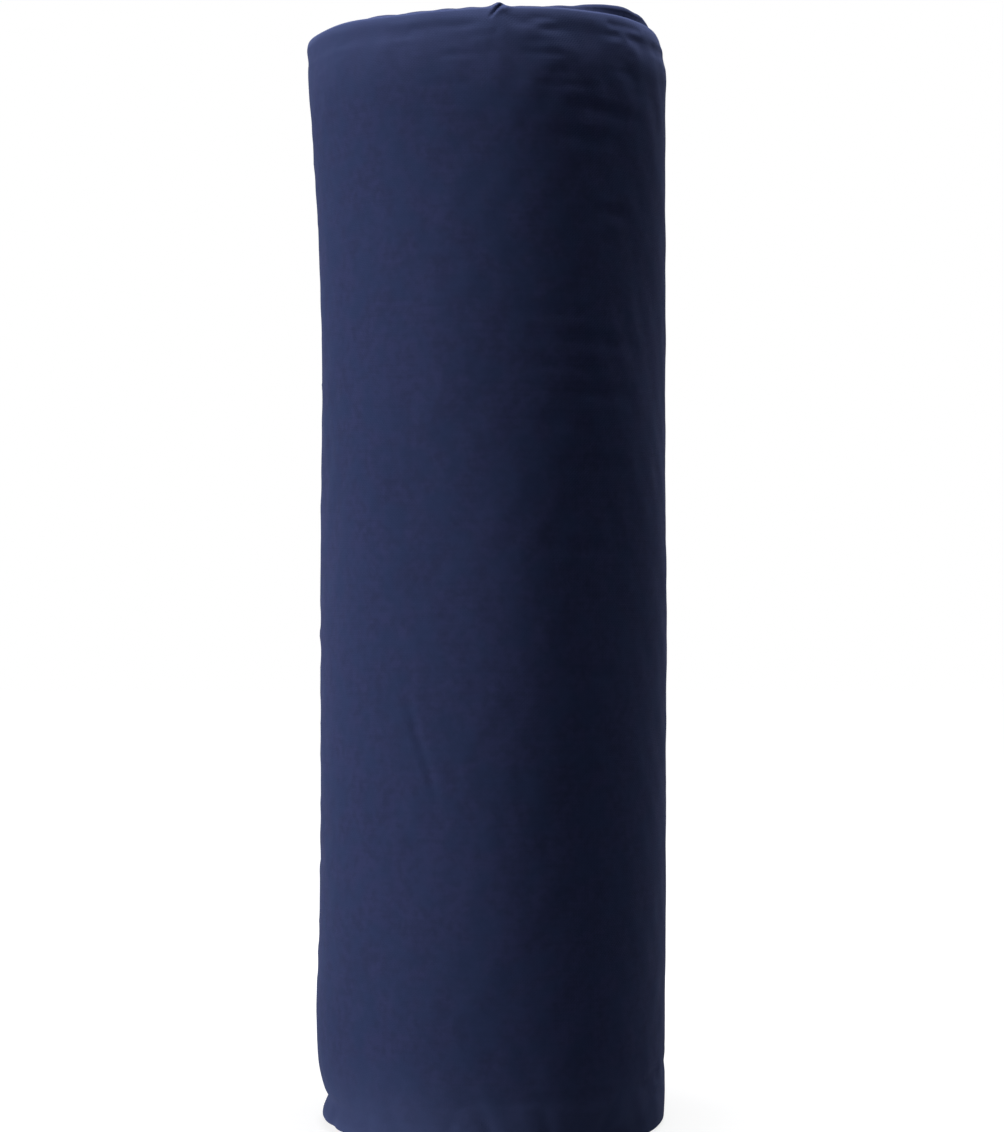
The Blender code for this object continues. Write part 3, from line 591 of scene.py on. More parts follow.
def seamLift(angle):
    # how far the top seam stands over its plain height: tilted up to the right, and a little wavy
    total = wrapForm["lift"] + wrapForm["liftRight"] * np.cos(angle)
    return addBumps(total, angle, wrapForm["bumps"]) + waves(angle, 0.0, *wrapForm["liftWaves"])


def seamSink(angle):
    # how far the bottom seam lies under its plain height
    return addBumps(wrapForm["sink"], angle, wrapForm["sinkBumps"])


def liftedHeight(angle, height):
    # the top seam's lift and the bottom seam's sinking fade out along the wrap
    lifted = seamLift(angle) * smoothStep((height - topSeam + wrapForm["liftReach"]) / wrapForm["liftReach"])
    return height + lifted - seamSink(angle) * (1 - smoothStep((height - bottomSeam) / wrapForm["sinkReach"]))


# The end panels' form
endForm = {
    "crown": 8 * mm,
    "edgePuff": 2.0 * mm,      # the edge stands steeply out of its seam
    "frontPuff": 10 * mm,      # and bulges over it at the front right
    "frontPuffAt": 54,
    "frontPuffHalves": (math.radians(23), math.radians(36)),     # to its left and right
    "frontLip": 7 * mm,        # how far the bulge leans out over the seam
    "gather": (0.35 * mm, 12, (16, 44), (0, 1), 31),
    "swell": (0.3 * mm, 8, (1, 5), (0.4, 1.6), 32),
    "groove": 0.3 * mm,
    "cloth": 1.0 * mm,
    "flatShare": 0.80,         # of the bottom panel's radius, and the share over which it then rises
    "risingShare": 0.20,
    "underfoot": 0.3 * mm,
    "bottomGather": (0.5 * mm, 14, (14, 40), (0, 1), 33),
}


def rimRadius(angle, seam):
    # an end panel's edge, just inside the wrap's turned edge
    return wrapRadius(angle, seam + 0.0 * angle) - wrapForm["backing"] - endForm["groove"]


def frontPuff(angle):
    # a bell curve that is wider on its right
    off = fromFront(angle, endForm["frontPuffAt"])
    return hump(off / np.where(off < 0, *endForm["frontPuffHalves"]))


def panelHeight(angle, share, plain=False):
    # a crown of 1 - share^4, bulges that are steepest at the edge, the seam's lift, folds and gathers
    form = endForm
    total = topSeam + seamLift(angle) * share ** 3 + form["crown"] * (1 - share ** 4)
    total = total + form["edgePuff"] * (share ** 4 - share ** 14)
    total = total + form["frontPuff"] * frontPuff(angle) * (share ** 6 - share ** 40)
    if plain:
        return total
    gather = waves(angle, 0.0, *form["gather"]) * share ** 6 * (1 - share ** 30)
    total = total + gather + waves(angle, share, *form["swell"]) * (1 - share) * share * 4
    if puff["top"] is not None:
        total = total + puffAt("top", angle, share)
    return total


# The stuffed cover is simulated once on a coarse closed mesh. Its cloth is cut a little larger than the form
# it is sewn to, so pressure gathers the spare in folds along the end seams. Only the short waves are kept, and
# the form above stays as it is
filling = {
    "columns": 216,
    "edgeSpacing": 3.6 * mm,
    "middleSpacing": 6 * mm,
    "edgeReach": 90 * mm,
    "rings": 16,
    "foot": 2 * mm,            # of its flat bottom, below the bottom seam
    "uneven": (0.0004, 30, (20, 60), (2, 20), 41),     # of the radius, so that the folds can start
    "quality": 5,
    "pressure": 30.0,
    "frames": 20,
    "spare": 0.005,            # share by which the cloth is cut larger
    "vertexMass": 0.02,
    "stretch": 15.0,           # stiffness against stretching, shearing and bending
    "shear": 8.0,
    "bending": 0.5,
    "cap": 1.1 * mm,
    "kept": 0.4,               # share of the folds that is used: the real cloth is nearly smooth
    "longest": 30 * mm,        # longer waves up the side, and those with fewer turns round it, are left out
    "turns": 7,
}


def fillingRows():
    # heights from seam to seam, closer at both ends
    def spacing(height):
        share = smoothStep((toSeam(height) - filling["edgeReach"] / 2) / filling["edgeReach"])
        return filling["edgeSpacing"] + (filling["middleSpacing"] - filling["edgeSpacing"]) * share
    return spread(bottomSeam, topSeam, spacing)


def fillingShape(heights):
    # the closed mesh's points: bottom middle, bottom rings, the wrap's rows, top rings, top middle
    turn = zipAngle + np.arange(filling["columns"]) / filling["columns"] * fullTurn
    angle, height = np.meshgrid(turn, heights)
    ringAngle, ringShare = np.meshgrid(turn, np.linspace(0, 1, filling["rings"] + 1)[1:-1])
    uneven = 1 + waves(angle, height, *filling["uneven"])
    wall = cylinder(wrapRadius(angle, height, plain=True) * uneven, angle, height)
    rim = wrapRadius(turn, topSeam + 0 * turn, plain=True)
    foot = bottomSeam - filling["foot"]
    low = cylinder(ringShare * rim, ringAngle, foot + 0 * ringShare)
    high = cylinder(ringShare * rim, ringAngle, panelHeight(ringAngle, ringShare, plain=True))[::-1]
    parts = [np.array([[0, 0, foot]]), low, wall, high, np.array([[0, 0, topSeam + endForm["crown"]]])]
    return np.concatenate([part.reshape(-1, 3) for part in parts])


def stuff(shape, faces, held):
    # blows the cover up with the held points fixed, and gives its points at the last frame
    form = filling
    stuffed = addObject("filling", meshFrom("filling", shape, faces))
    stuffed.vertex_groups.new(name="held").add(held, 1.0, "REPLACE")
    cloth = stuffed.modifiers.new("cloth", "CLOTH")
    settings = cloth.settings
    settings.quality = form["quality"]
    settings.mass = form["vertexMass"]
    settings.tension_stiffness = settings.compression_stiffness = form["stretch"]
    settings.shear_stiffness = form["shear"]
    settings.bending_stiffness = form["bending"]
    settings.vertex_group_mass = "held"
    settings.shrink_min = -form["spare"]
    settings.use_pressure = True
    settings.uniform_pressure_force = form["pressure"]
    settings.effector_weights.gravity = 0
    cloth.point_cache.frame_end = form["frames"]
    for number in range(1, form["frames"] + 1):
        bpy.context.scene.frame_set(number)
    evaluated = stuffed.evaluated_get(bpy.context.evaluated_depsgraph_get())
    after = np.empty(len(shape) * 3, np.float32)
    evaluated.data.vertices.foreach_get("co", after)
    after = after.reshape(-1, 3).astype(float)
    bpy.context.scene.frame_set(1)
    bpy.data.objects.remove(stuffed)
    return after


def shortWaves(change, blend):
    # takes away the waves with few turns, after they are blended along the rows, and caps the rest
    form = filling
    parts = np.fft.rfft(change, axis=1)
    few = parts * hump(np.arange(parts.shape[1]) / form["turns"])
    rest = change - blend @ np.fft.irfft(few, n=change.shape[1], axis=1)
    return form["kept"] * form["cap"] * np.tanh(rest / form["cap"])


def simulateFilling():
    # fills puff with the wall's change of radius and the top panel's change of height
    heights, columns, rings = fillingRows(), filling["columns"], filling["rings"] - 1
    shape = fillingShape(heights)
    last = len(shape) - 1
    firstWall = 1 + rings * columns
    lastWall = firstWall + (len(heights) - 1) * columns
    held = list(range(firstWall + columns)) + list(range(lastWall, lastWall + columns)) + [last]
    after = stuff(shape, globeFaces(len(heights) + 2 * rings, columns), held)
    wall, top = slice(firstWall, lastWall + columns), slice(lastWall + columns, last)
    distance = np.hypot(after[wall, 0], after[wall, 1]) - np.hypot(shape[wall, 0], shape[wall, 1])
    blend = hump((heights[:, None] - heights) / filling["longest"]) * np.gradient(heights)
    puff["wrap"] = shortWaves(distance.reshape(len(heights), columns), blend / blend.sum(axis=1)[:, None])
    puff["heights"] = heights
    rise = (after[top, 2] - shape[top, 2]).reshape(rings, columns)[::-1]
    ends = np.zeros((1, columns))
    puff["top"] = np.concatenate([ends, shortWaves(rise, np.eye(rings)), ends])
    wrap, top = puff["wrap"] / mm, puff["top"] / mm
    print("filling: gathers of %.2f mm at the side and %.2f mm on top, at most %.2f and %.2f mm"
          % (wrap.std(), top.std(), np.abs(wrap).max(), np.abs(top).max()))


def puffAt(where, angle, place):
    # what the simulation adds on the wrap at a height, or on the top panel at a share of its radius
    column = ((angle - zipAngle) % fullTurn) / fullTurn * filling["columns"]
    if where == "wrap":
        row = np.interp(place, puff["heights"], np.arange(len(puff["heights"])))
    else:
        row = np.clip(place, 0, 1) * filling["rings"]
    row, column = np.broadcast_arrays(row, column)
    return sampleGrid(puff[where], row, column)


simulateFilling()


# The wrap: one cloth from its front zip edge round to its back zip edge, with all four edges rounded over
wrapGrid = {
    # of the rows, then of the columns
    "seamSpacing": 1.4 * mm, "plainSpacing": 4.1 * mm, "slotSpacing": 1.2 * mm,
    "seamReach": 40 * mm, "slotReach": 3 * mm,
    "edgeSpacing": 1.3 * mm, "aroundSpacing": 2.5 * mm, "edgeReach": 26 * mm, "edgeFade": 20 * mm,
    # degrees from the front, reach and spacing of places with finer columns
    "finerAt": [(3, 8 * mm, 0.8 * mm), (52, 30 * mm, 1.6 * mm), (-22, 14 * mm, 1.6 * mm)],
    "foldSteps": 5, "edgeSteps": 4, "roundedTurn": 0.62 * math.pi,
    "slotEase": (1.5 * mm, 4 * mm),     # how far past its ends the slot starts to open, and over what length
    "innerEvery": 4, "innerSlotReach": 9 * mm,
    "thinAtZip": (17 * mm, 12 * mm),
}


def toSlotEnd(height):
    # the distance to the nearer end of the slot
    return np.minimum(np.abs(height - slotFoot), np.abs(height - slotHead))


def edgeHalf(height):
    # half the opening between the two zip edges: almost nothing in the seam, the slot's half width in the slot
    past, ease = wrapGrid["slotEase"]
    opened = smoothStep((height - slotFoot + past) / ease) * smoothStep((slotHead + past - height) / ease)
    return wrapForm["seamGap"] + (wrapForm["slotHalf"] - wrapForm["seamGap"]) * opened


def makeWrap():
    # rows run from the bottom fold to the top one, and columns from the front zip edge round to the back one
    form, grid = wrapForm, wrapGrid
    fold, half, whole = form["fold"], form["cloth"] / 2, fullTurn * radius

    def rowSpacing(height):
        share = smoothStep((toSeam(height) - grid["seamReach"]) / grid["seamReach"])
        spacing = grid["seamSpacing"] + (grid["plainSpacing"] - grid["seamSpacing"]) * share
        past = np.maximum(toSlotEnd(height) - grid["slotReach"], 0)
        return np.minimum(spacing, grid["slotSpacing"] + 0.5 * past)

    def columnSpacing(distance):
        share = smoothStep((np.minimum(distance, whole - distance) - grid["edgeReach"]) / grid["edgeFade"])
        spacing = grid["edgeSpacing"] + (grid["aroundSpacing"] - grid["edgeSpacing"]) * share
        for place, reach, finer in grid["finerAt"]:
            away = np.abs(fromFront(zipAngle + distance / radius, place)) * radius - reach
            spacing = np.minimum(spacing, finer + 0.3 * np.maximum(away, 0))
        return spacing

    heights = spread(bottomSeam + fold, topSeam - fold, rowSpacing)
    turn = np.linspace(0, grid["roundedTurn"], grid["foldSteps"] + 1)[1:]
    over, under = fold * np.sin(turn), fold * (1 - np.cos(turn))
    rowHeight = np.concatenate([(bottomSeam + fold - over)[::-1], heights, topSeam - fold + over])
    rowDepth = np.concatenate([under[::-1], 0 * heights, under])
    shares = spread(0, whole, columnSpacing) / whole
    turn = np.linspace(0, grid["roundedTurn"], grid["edgeSteps"] + 1)[1:]
    slip, under = half * (1 - np.sin(turn)), half * (1 - np.cos(turn))
    columnShare = np.concatenate([0 * turn, shares, 0 * turn + 1])
    columnSlip = np.concatenate([slip[::-1], 0 * shares + half, slip])
    columnDepth = np.concatenate([under[::-1], 0 * shares, under])
    height, share = np.meshgrid(rowHeight, columnShare, indexing="ij")
    offset = (edgeHalf(height) + columnSlip) / radius
    angle = zipAngle + offset + share * (fullTurn - 2 * offset)
    distance = wrapRadius(angle, height) - rowDepth[:, None] - columnDepth
    outer = cylinder(distance, angle, liftedHeight(angle, height))
    outerUv = np.stack([(angle - zipAngle) * radius, height], axis=-1)

    # the hidden inner face, coarse and smooth: thin beside the zip's tapes and thick where the hems are. It
    # keeps every row near the slot's ends and a few of the others
    number = np.arange(len(heights))
    kept = (toSlotEnd(heights) < grid["innerSlotReach"]) | (number % grid["innerEvery"] == 0)
    keptRows = np.nonzero(kept | (number == len(heights) - 1))[0]
    number = np.arange(len(shares))
    keptColumns = np.nonzero((number % grid["innerEvery"] == 0) | (number == len(shares) - 1))[0]
    height, share = np.meshgrid(heights[keptRows], shares[keptColumns], indexing="ij")
    offset = (edgeHalf(height) + half) / radius
    angle = zipAngle + offset + share * (fullTurn - 2 * offset)
    thicker = (form["backing"] - form["cloth"]) * (1 - zipNearness(angle, height, *grid["thinAtZip"]))
    distance = wrapRadius(angle, height, plain=True) - form["cloth"] - thicker
    inner = cylinder(distance, angle, liftedHeight(angle, height))
    innerUv = np.stack([(angle - zipAngle) * radius, height], axis=-1)

    many = np.arange(outer.shape[0] * outer.shape[1]).reshape(outer.shape[:2])
    few = many.size + np.arange(inner.shape[0] * inner.shape[1]).reshape(inner.shape[:2])
    faces = [gridFaces(*outer.shape[:2]), gridFaces(*inner.shape[:2], start=many.size)[:, ::-1]]
    keptRows, keptColumns = keptRows + grid["foldSteps"], keptColumns + grid["edgeSteps"]
    faces += [stripFaces(many[0], few[0], keptColumns)[:, ::-1], stripFaces(many[-1], few[-1], keptColumns)]
    faces.append(stripFaces(many[:, 0], few[:, 0], keptRows))
    faces.append(stripFaces(many[:, -1], few[:, -1], keptRows)[:, ::-1])
    points = np.concatenate([outer.reshape(-1, 3), inner.reshape(-1, 3)])
    uv = np.concatenate([outerUv.reshape(-1, 2), innerUv.reshape(-1, 2)])
    made = makeMesh("coverWrap", points, faces, uv)
    # paler near the end seams: the narrow term is rubbed wear at the seam edge, the broad one is painted light
    # near both ends
    nearSeam = toSeam(rowHeight)[:, None]
    wearAndPaintedLight = 0.3 * hump(nearSeam / (4 * mm)) + 0.6 * hump(nearSeam / (34 * mm))
    wearAndPaintedLight = np.broadcast_to(wearAndPaintedLight, outer.shape[:2])
    setWearAndPaintedLight(made, np.concatenate([wearAndPaintedLight.ravel(), 0 * inner[..., 0].ravel()]))
    return dress(made, cotton, "cover_cotton", "cover_wrap")


def setWearAndPaintedLight(piece, values):
    # where the cotton is drawn paler, read by the cotton: rubbed wear along the seams, and on the wrap also
    # painted light, a broad paler band near both ends
    piece.data.attributes.new("wearAndPaintedLight", "FLOAT", "POINT").data.foreach_set("value", values.astype(np.float32))


coverWrap = makeWrap()
print("wrap: %d points" % len(coverWrap.data.vertices))


# The end panels: round cloths whose turned edges stand inside the wrap's
panelGrid = {
    "columns": 320, "hiddenRows": 14, "fold": 1.2 * mm,
    "rimSpacing": 1.5 * mm, "middleSpacing": 4.2 * mm, "rimReach": 12 * mm, "rimFade": 25 * mm,
    "bend": (20, 38, 56, 74, 92),                  # degrees of the steps over the fold
    "hem": [(0.1, 4), (1.1, 4), (1.3, 2.2)],       # mm inside the rim and down from the edge, there and back
}


def bottomHeight(angle, share):
    # flat on the floor, then up to the seam near the edge with gathers
    form = endForm
    rise = smoothStep((share - form["flatShare"]) / form["risingShare"])
    gather = waves(angle, 0.0, *form["bottomGather"]) * rise * (1 - rise) * 1.5
    return form["underfoot"] + (bottomSeam - seamSink(angle) - form["underfoot"]) * rise + gather


def panelRings(heightAt, seam, side):
    # rings from the middle out over the turned edge, down the hem and back under the cloth
    grid, fold, cloth = panelGrid, panelGrid["fold"], endForm["cloth"]
    turn = zipAngle + np.arange(grid["columns"]) / grid["columns"] * fullTurn
    rim = rimRadius(turn, seam)

    def spacing(distance):
        share = smoothStep((radius - distance - grid["rimReach"]) / grid["rimFade"])
        return grid["rimSpacing"] + (grid["middleSpacing"] - grid["rimSpacing"]) * share

    share = spread(0, radius, spacing)[1:-1, None] / radius
    lip = endForm["frontLip"] * frontPuff(turn) * (share ** 12 - share ** 60) * (side > 0)
    upper = cylinder(share * (rim - fold) + lip, turn, heightAt(turn, share))
    edge = heightAt(turn, 1.0 + 0 * turn)
    bend = np.radians(grid["bend"])[:, None]
    rounded = cylinder(rim - fold + fold * np.sin(bend), turn, edge - side * fold * (1 - np.cos(bend)))
    inward, down = np.array(grid["hem"]).T[:, :, None] * mm
    hemmed = cylinder(rim - inward, turn, edge - side * down)
    share = np.linspace(0.97, 0.03, grid["hiddenRows"])[:, None]
    lower = cylinder(share * (rim - fold), turn, heightAt(turn, share) - side * cloth)
    middle = heightAt(turn[:1], np.zeros(1))[0]
    return np.concatenate([upper, rounded, hemmed, lower]), [[0, 0, middle], [0, 0, middle - side * cloth]]


def revolved(name, rings, poles):
    # a closed surface through rings of points, from one middle point to the other, with a flat UV in metres
    points = np.concatenate([[poles[0]], rings.reshape(-1, 3), [poles[1]]])
    return makeMesh(name, points, globeFaces(*rings.shape[:2]), points[:, :2])


def makePanel(name, heightAt, seam, side, node):
    # side is 1 for the panel whose outside faces up, and -1 for the one that faces down
    rings, poles = panelRings(heightAt, seam, side)
    made = revolved(name, rings, poles)
    distance = np.hypot(*np.concatenate([[poles[0]], rings.reshape(-1, 3), [poles[1]]])[:, :2].T)
    setWearAndPaintedLight(made, 0.4 * hump((radius - 4 * mm - distance) / (5 * mm)))
    return dress(made, cotton, "cover_cotton", node)


coverEndTop = makePanel("coverEndTop", panelHeight, topSeam, 1, "cover_end_top")
makePanel("coverEndBottom", bottomHeight, bottomSeam, -1, "cover_end_bottom")
print("end panels: %d points each" % len(coverEndTop.data.vertices))


def panelFoot(x, y):
    # the top panel's height at a point
    angle = np.arctan2(y, x)
    return panelHeight(angle, np.hypot(x, y) / (rimRadius(angle, topSeam) - panelGrid["fold"]))


def slab(name, upper, lower, uv):
    # a closed plate between two grids of points of the same shape
    rows, columns = upper.shape[:2]
    index = np.arange(rows * columns).reshape(rows, columns)
    border = np.concatenate([index[0, :-1], index[:-1, -1], index[-1, :0:-1], index[:0:-1, 0]])
    following, size = np.roll(border, -1), rows * columns
    sides = np.stack([following, border, border + size, following + size], axis=1)
    faces = [gridFaces(rows, columns), gridFaces(rows, columns, size)[:, ::-1], sides]
    return makeMesh(name, np.stack([upper, lower]), faces, np.stack([uv, uv]))


# The zip's tapes: woven polyester under the slot's edges, which nothing but the slot shows. Past the metal
# stops their inner edges lie together
zipForm = {
    "tapeOuter": 1.3 * mm, "tapeCloth": 0.7 * mm, "tapeEdge": 3.0 * mm, "tapeReach": 15.5 * mm,
    "closedEdge": 0.2 * mm, "stopRoom": 0.3 * mm, "tapeColumns": 9,
    "plane": 1.65 * mm,            # of the teeth and slider, inside the wrap's plain radius
    "cordFace": 1.3 * mm, "cordBack": 2.7 * mm, "thick": 2.4 * mm, "cordRows": 60, "cordSides": 12,
    "pitch": 3.2 * mm, "firstTooth": 0.3 * mm + 1.45 / 2 * mm, "headRoom": 0.7 * mm, "toothSides": 10,
}


def atZip(outward, across, height):
    # a point in the zip's own directions: out of the bolster, towards its front, and up
    out, across, height = np.broadcast_arrays(outward + radius - zipForm["plane"], across, height)
    x = out * math.cos(zipAngle) - across * math.sin(zipAngle)
    return np.stack([x, out * math.sin(zipAngle) + across * math.cos(zipAngle), height], axis=-1)


def makeTape(place, way):
    # a strip that follows the wrap's curve, with a row of points on both sides of each stop
    form, room = zipForm, zipForm["stopRoom"]
    stretches = [
        (tapeFoot, stopFoot - 2 * room, 6),
        (stopFoot - room, stopHead + room, 168),
        (stopHead + 2 * room, tapeHead, 6),
    ]
    along = np.concatenate([np.linspace(*stretch) for stretch in stretches])[:, None]
    past = (along < stopFoot - 1.5 * room) | (along > stopHead + 1.5 * room)
    edge = np.where(past, form["closedEdge"], form["tapeEdge"])
    across = edge + (form["tapeReach"] - edge) * np.linspace(0, 1, form["tapeColumns"])[None, :]
    outer = radius - form["tapeOuter"] + 0 * along
    angle = zipAngle + way * across / outer
    upper, lower = (cylinder(face, angle, along) for face in (outer, outer - form["tapeCloth"]))
    uv = np.stack(np.broadcast_arrays(across, along), axis=-1)
    tape = slab("zipTape" + place.title(), upper, lower, uv)
    dress(tape, zipTapeCloth, "zip_tape", "zip_tape_" + place)


makeTape("front", 1)
makeTape("back", -1)

# The teeth: each is a rounded peg with a neck and a wider head, moulded on the tape's cord.
# Stations across the zip in mm: place, half height, half thickness
toothShape = [(1.6, 0.62, 1.18), (1.15, 0.575, 1.16), (0.35, 0.575, 1.10), (-0.25, 0.66, 1.10),
              (-0.7, 0.72, 1.08), (-0.92, 0.66, 0.98), (-1.0, 0.46, 0.78)]


def roundedSection(count, power):
    # a closed outline between a circle and a square: |cos|^power and |sin|^power with their signs
    turn = (np.arange(count) + 0.5) / count * fullTurn
    shape = [np.sign(wave) * np.abs(wave) ** power for wave in (np.cos(turn), np.sin(turn))]
    return np.stack(shape)


def makeTeeth(place, way, offset):
    # every tooth is a tube through its stations, and the cord is one more
    form, stations = zipForm, np.array(toothShape) * mm
    thick, tall = roundedSection(form["toothSides"], 0.55)
    middles = np.arange(toothFoot + form["firstTooth"] + offset, toothHead - form["headRoom"], form["pitch"])
    heights = middles[:, None, None] + stations[None, :, 1, None] * tall
    teeth = atZip(stations[None, :, 2, None] * thick, way * stations[None, :, 0, None], heights)
    thick, tall = roundedSection(form["cordSides"], 0.6)
    cordMiddle = (form["cordFace"] + form["cordBack"]) / 2
    cordHalf = (form["cordBack"] - form["cordFace"]) / 2
    along = np.linspace(toothFoot, toothHead, form["cordRows"])[:, None]
    cord = atZip(thick * form["thick"] / 2, way * cordMiddle + cordHalf * tall, along)
    points = np.concatenate([teeth.reshape(-1, 3), cord.reshape(-1, 3)])
    faces = tubeFaces(*teeth.shape[:3]) + tubeFaces(1, *cord.shape[:2], start=teeth.size // 3)
    dress(makeMesh("zipTeeth" + place.title(), points, faces), acetal, "zip_teeth", "zip_teeth_" + place)
    return len(middles)


makeTeeth("front", 1, 0.0)
print("zip: %d teeth a side" % makeTeeth("back", -1, zipForm["pitch"] / 2))


# The zip's metal pieces keep the CAD's shapes, cleaned and with rounded edges
metalForm = {"weld": 0.01 * mm, "flat": math.radians(2), "sharp": math.radians(28), "segments": 2}


def metalPiece(name, node, body, width):
    # the node's mesh with double points and flat edges taken away, and its sharp edges rounded
    mesh = bpy.data.meshes.new(name)
    work = bmesh.new()
    work.from_mesh(frame["nodes"][node].data)
    bmesh.ops.remove_doubles(work, verts=work.verts, dist=metalForm["weld"])
    bmesh.ops.dissolve_limit(work, angle_limit=metalForm["flat"], verts=work.verts, edges=work.edges)
    bmesh.ops.recalc_face_normals(work, faces=work.faces)
    work.to_mesh(mesh)
    work.free()
    mesh.shade_smooth()
    made = addObject(name, mesh)
    rounding = made.modifiers.new("rounding", "BEVEL")
    rounding.width = width
    rounding.segments = metalForm["segments"]
    rounding.limit_method = "ANGLE"
    rounding.angle_limit = metalForm["sharp"]
    rounding.harden_normals = True
    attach(made, body)
    return dress(made, zinc, "zip_metal", node)


metalPiece("zipSlider", "zip_slider", "slider", 0.14 * mm)
metalPiece("zipPull", "zip_pull", "pull", 0.10 * mm)
metalPiece("zipStopFront", "zip_stop_front", "bolster", 0.12 * mm)
metalPiece("zipStopBack", "zip_stop_back", "bolster", 0.12 * mm)
metalPiece("zipEndStop", "zip_end_stop", "bolster", 0.14 * mm)


# The handle: one length of cotton webbing, its ends folded under and sewn down, its middle bowed up
handle = {
    "thick": 1.8 * mm, "foldRadius": 0.95 * mm, "sewn": 24 * mm, "bow": 5.4 * mm, "over": 0.3 * mm,
    "upperPoints": 96, "lowerPoints": 8, "bendPoints": 9, "flatPoints": 9, "edgePoints": 7,
}


def handleFoot(x):
    # the highest panel point under the webbing's width at each place along it
    y = np.linspace(-handleHalf, handleHalf, 7)[:, None]
    return panelFoot(x[None, :], y).max(axis=0) + handle["over"]


def handleBow(x):
    # an S-curve from where the webbing is sewn up to its bow, halfway to the middle
    grip = handleReach - handle["sewn"]
    return handle["bow"] * smoothStep((grip - np.abs(x)) / (grip / 2))


def makeHandle():
    # the section is carried along a path: under one end, round its fold, over the top and the same back
    form = handle
    half, bend = form["thick"] / 2, form["foldRadius"]
    bendAt = handleReach - half - bend
    lower = np.linspace(handleReach - form["sewn"], bendAt, form["lowerPoints"] + 1)[:-1]
    turn = np.linspace(-90, 90, form["bendPoints"])[1:-1] / 180 * math.pi
    middle = np.linspace(bendAt, -bendAt, form["upperPoints"])
    past = bendAt + bend * np.cos(turn)
    x = np.concatenate([lower, past, middle, -past, -lower[::-1]])
    rest, curl = 0 * lower + half, half + bend * (1 + np.sin(turn))
    lift = np.concatenate([rest, curl, half + 2 * bend + handleBow(middle), curl[::-1], rest])
    z = handleFoot(np.clip(x, -bendAt, bendAt)) + lift
    slope = np.stack([np.gradient(x), np.gradient(z)], axis=1)
    slope /= np.hypot(*slope.T)[:, None]
    # the section: flat faces with two rounded edges
    turn = np.linspace(-90, 90, form["edgePoints"]) / 180 * math.pi
    flat = np.linspace(-handleHalf + half, handleHalf - half, form["flatPoints"])
    beyond, down, up = half * np.cos(turn[1:-1]), half * np.sin(turn[::-1][1:-1]), half * np.sin(turn[1:-1])
    across = np.concatenate([flat, flat[-1] + beyond, flat[::-1], flat[0] - beyond])
    out = np.concatenate([0 * flat - half, up, 0 * flat + half, down])
    places = (x[:, None] + slope[:, 1:] * out, across, z[:, None] - slope[:, :1] * out)
    points = np.stack(np.broadcast_arrays(*places), axis=-1)
    length = np.concatenate([[0], np.cumsum(np.hypot(np.diff(x), np.diff(z)))])
    uv = np.stack(np.broadcast_arrays(length[:, None], across), axis=-1)
    made = makeMesh("carryHandle", points, tubeFaces(1, *points.shape[:2]), uv)
    dress(made, webbing, "handle_webbing", "carry_handle")


makeHandle()


# Stitches: short rounded lengths of thread whose ends dip into the cloth
stitch = {
    "length": 2.7 * mm, "pitch": 3.4 * mm, "thick": 0.28 * mm, "rings": 6, "sides": 6,
    "fromEdge": 3 * mm, "fromZip": 10.7 * mm, "pastSlot": 5 * mm,
}


def makeStitches(name, middle, along, up, slotName):
    # middle, along and up are arrays of points and unit directions, one row per stitch. Along a stitch, from
    # -1 to 1, its girth is the root of 1.04 - share^6, and its middle line falls by 1.3 share^4 from 0.55 up
    share = np.linspace(-1, 1, stitch["rings"])[None, :, None, None]
    turn = (np.arange(stitch["sides"]) / stitch["sides"] * fullTurn)[None, None, :, None]
    middle, along, up = (array[:, None, None, :] for array in (middle, along, up))
    aside = np.cross(along, up)
    girth = stitch["thick"] * np.sqrt(np.clip(1.04 - share ** 6, 0, 1))
    rise = stitch["thick"] * (0.55 - 1.3 * share ** 4)
    points = middle + along * share * stitch["length"] / 2 + up * rise
    points = points + girth * (aside * np.cos(turn) + up * np.sin(turn))
    drawn = np.broadcast_arrays(share[..., 0] * stitch["length"], turn[..., 0] * mm, points[..., 0])[:2]
    made = makeMesh(name, points, tubeFaces(*points.shape[:3]), np.stack(drawn, axis=-1))
    dress(made, thread, slotName)


def stitchLine(start, end):
    # the middles of the stitches on a straight line, and its direction
    start, end = np.array(start), np.array(end)
    length = np.linalg.norm(end - start)
    count = max(1, round(length / stitch["pitch"]))
    share = (np.arange(count) + 0.5)[:, None] / count
    return start + share * (end - start), np.tile((end - start) / length, (count, 1))


def stitchOn(lines, place, name, slotName):
    # lays lines given in a flat drawing on a surface, by placing each stitch's two ends and its middle
    middles, ways = (np.concatenate(parts) for parts in zip(*(stitchLine(*line) for line in lines)))
    half = stitch["length"] / 2
    first, last = place(middles - ways * half), place(middles + ways * half)
    along = (last - first) / np.linalg.norm(last - first, axis=1)[:, None]
    square = ways[:, ::-1] * [1, -1] * half
    up = np.cross(place(middles + square) - place(middles - square), along)
    up /= np.linalg.norm(up, axis=1)[:, None]
    makeStitches(name, place(middles), along, up, slotName)


def onHandle(flat):
    # from a place along and across the webbing to the point on its upper face
    x, y = flat.T
    top = handleFoot(x) + handle["thick"] + 2 * handle["foldRadius"] + handleBow(x)
    return np.stack([x, y, top], axis=-1)


def onWrap(flat):
    # from a distance round from the zip and a height to the point on the wrap
    angle = zipAngle + flat[:, 0] / radius
    return cylinder(wrapRadius(angle, flat[:, 1]), angle, flat[:, 1])


near, far = handleReach - handle["sewn"] + stitch["fromEdge"], handleReach - stitch["fromEdge"]
beside = handleHalf - stitch["fromEdge"]
boxes = []
for way in (-1, 1):
    corners = [(way * near, -beside), (way * far, -beside), (way * far, beside), (way * near, beside)]
    boxes += [(corners[step], corners[(step + 1) % 4]) for step in range(4)]
    boxes += [(corners[0], corners[2]), (corners[1], corners[3])]
stitchOn(boxes, onHandle, "handleStitching", "handle_webbing")

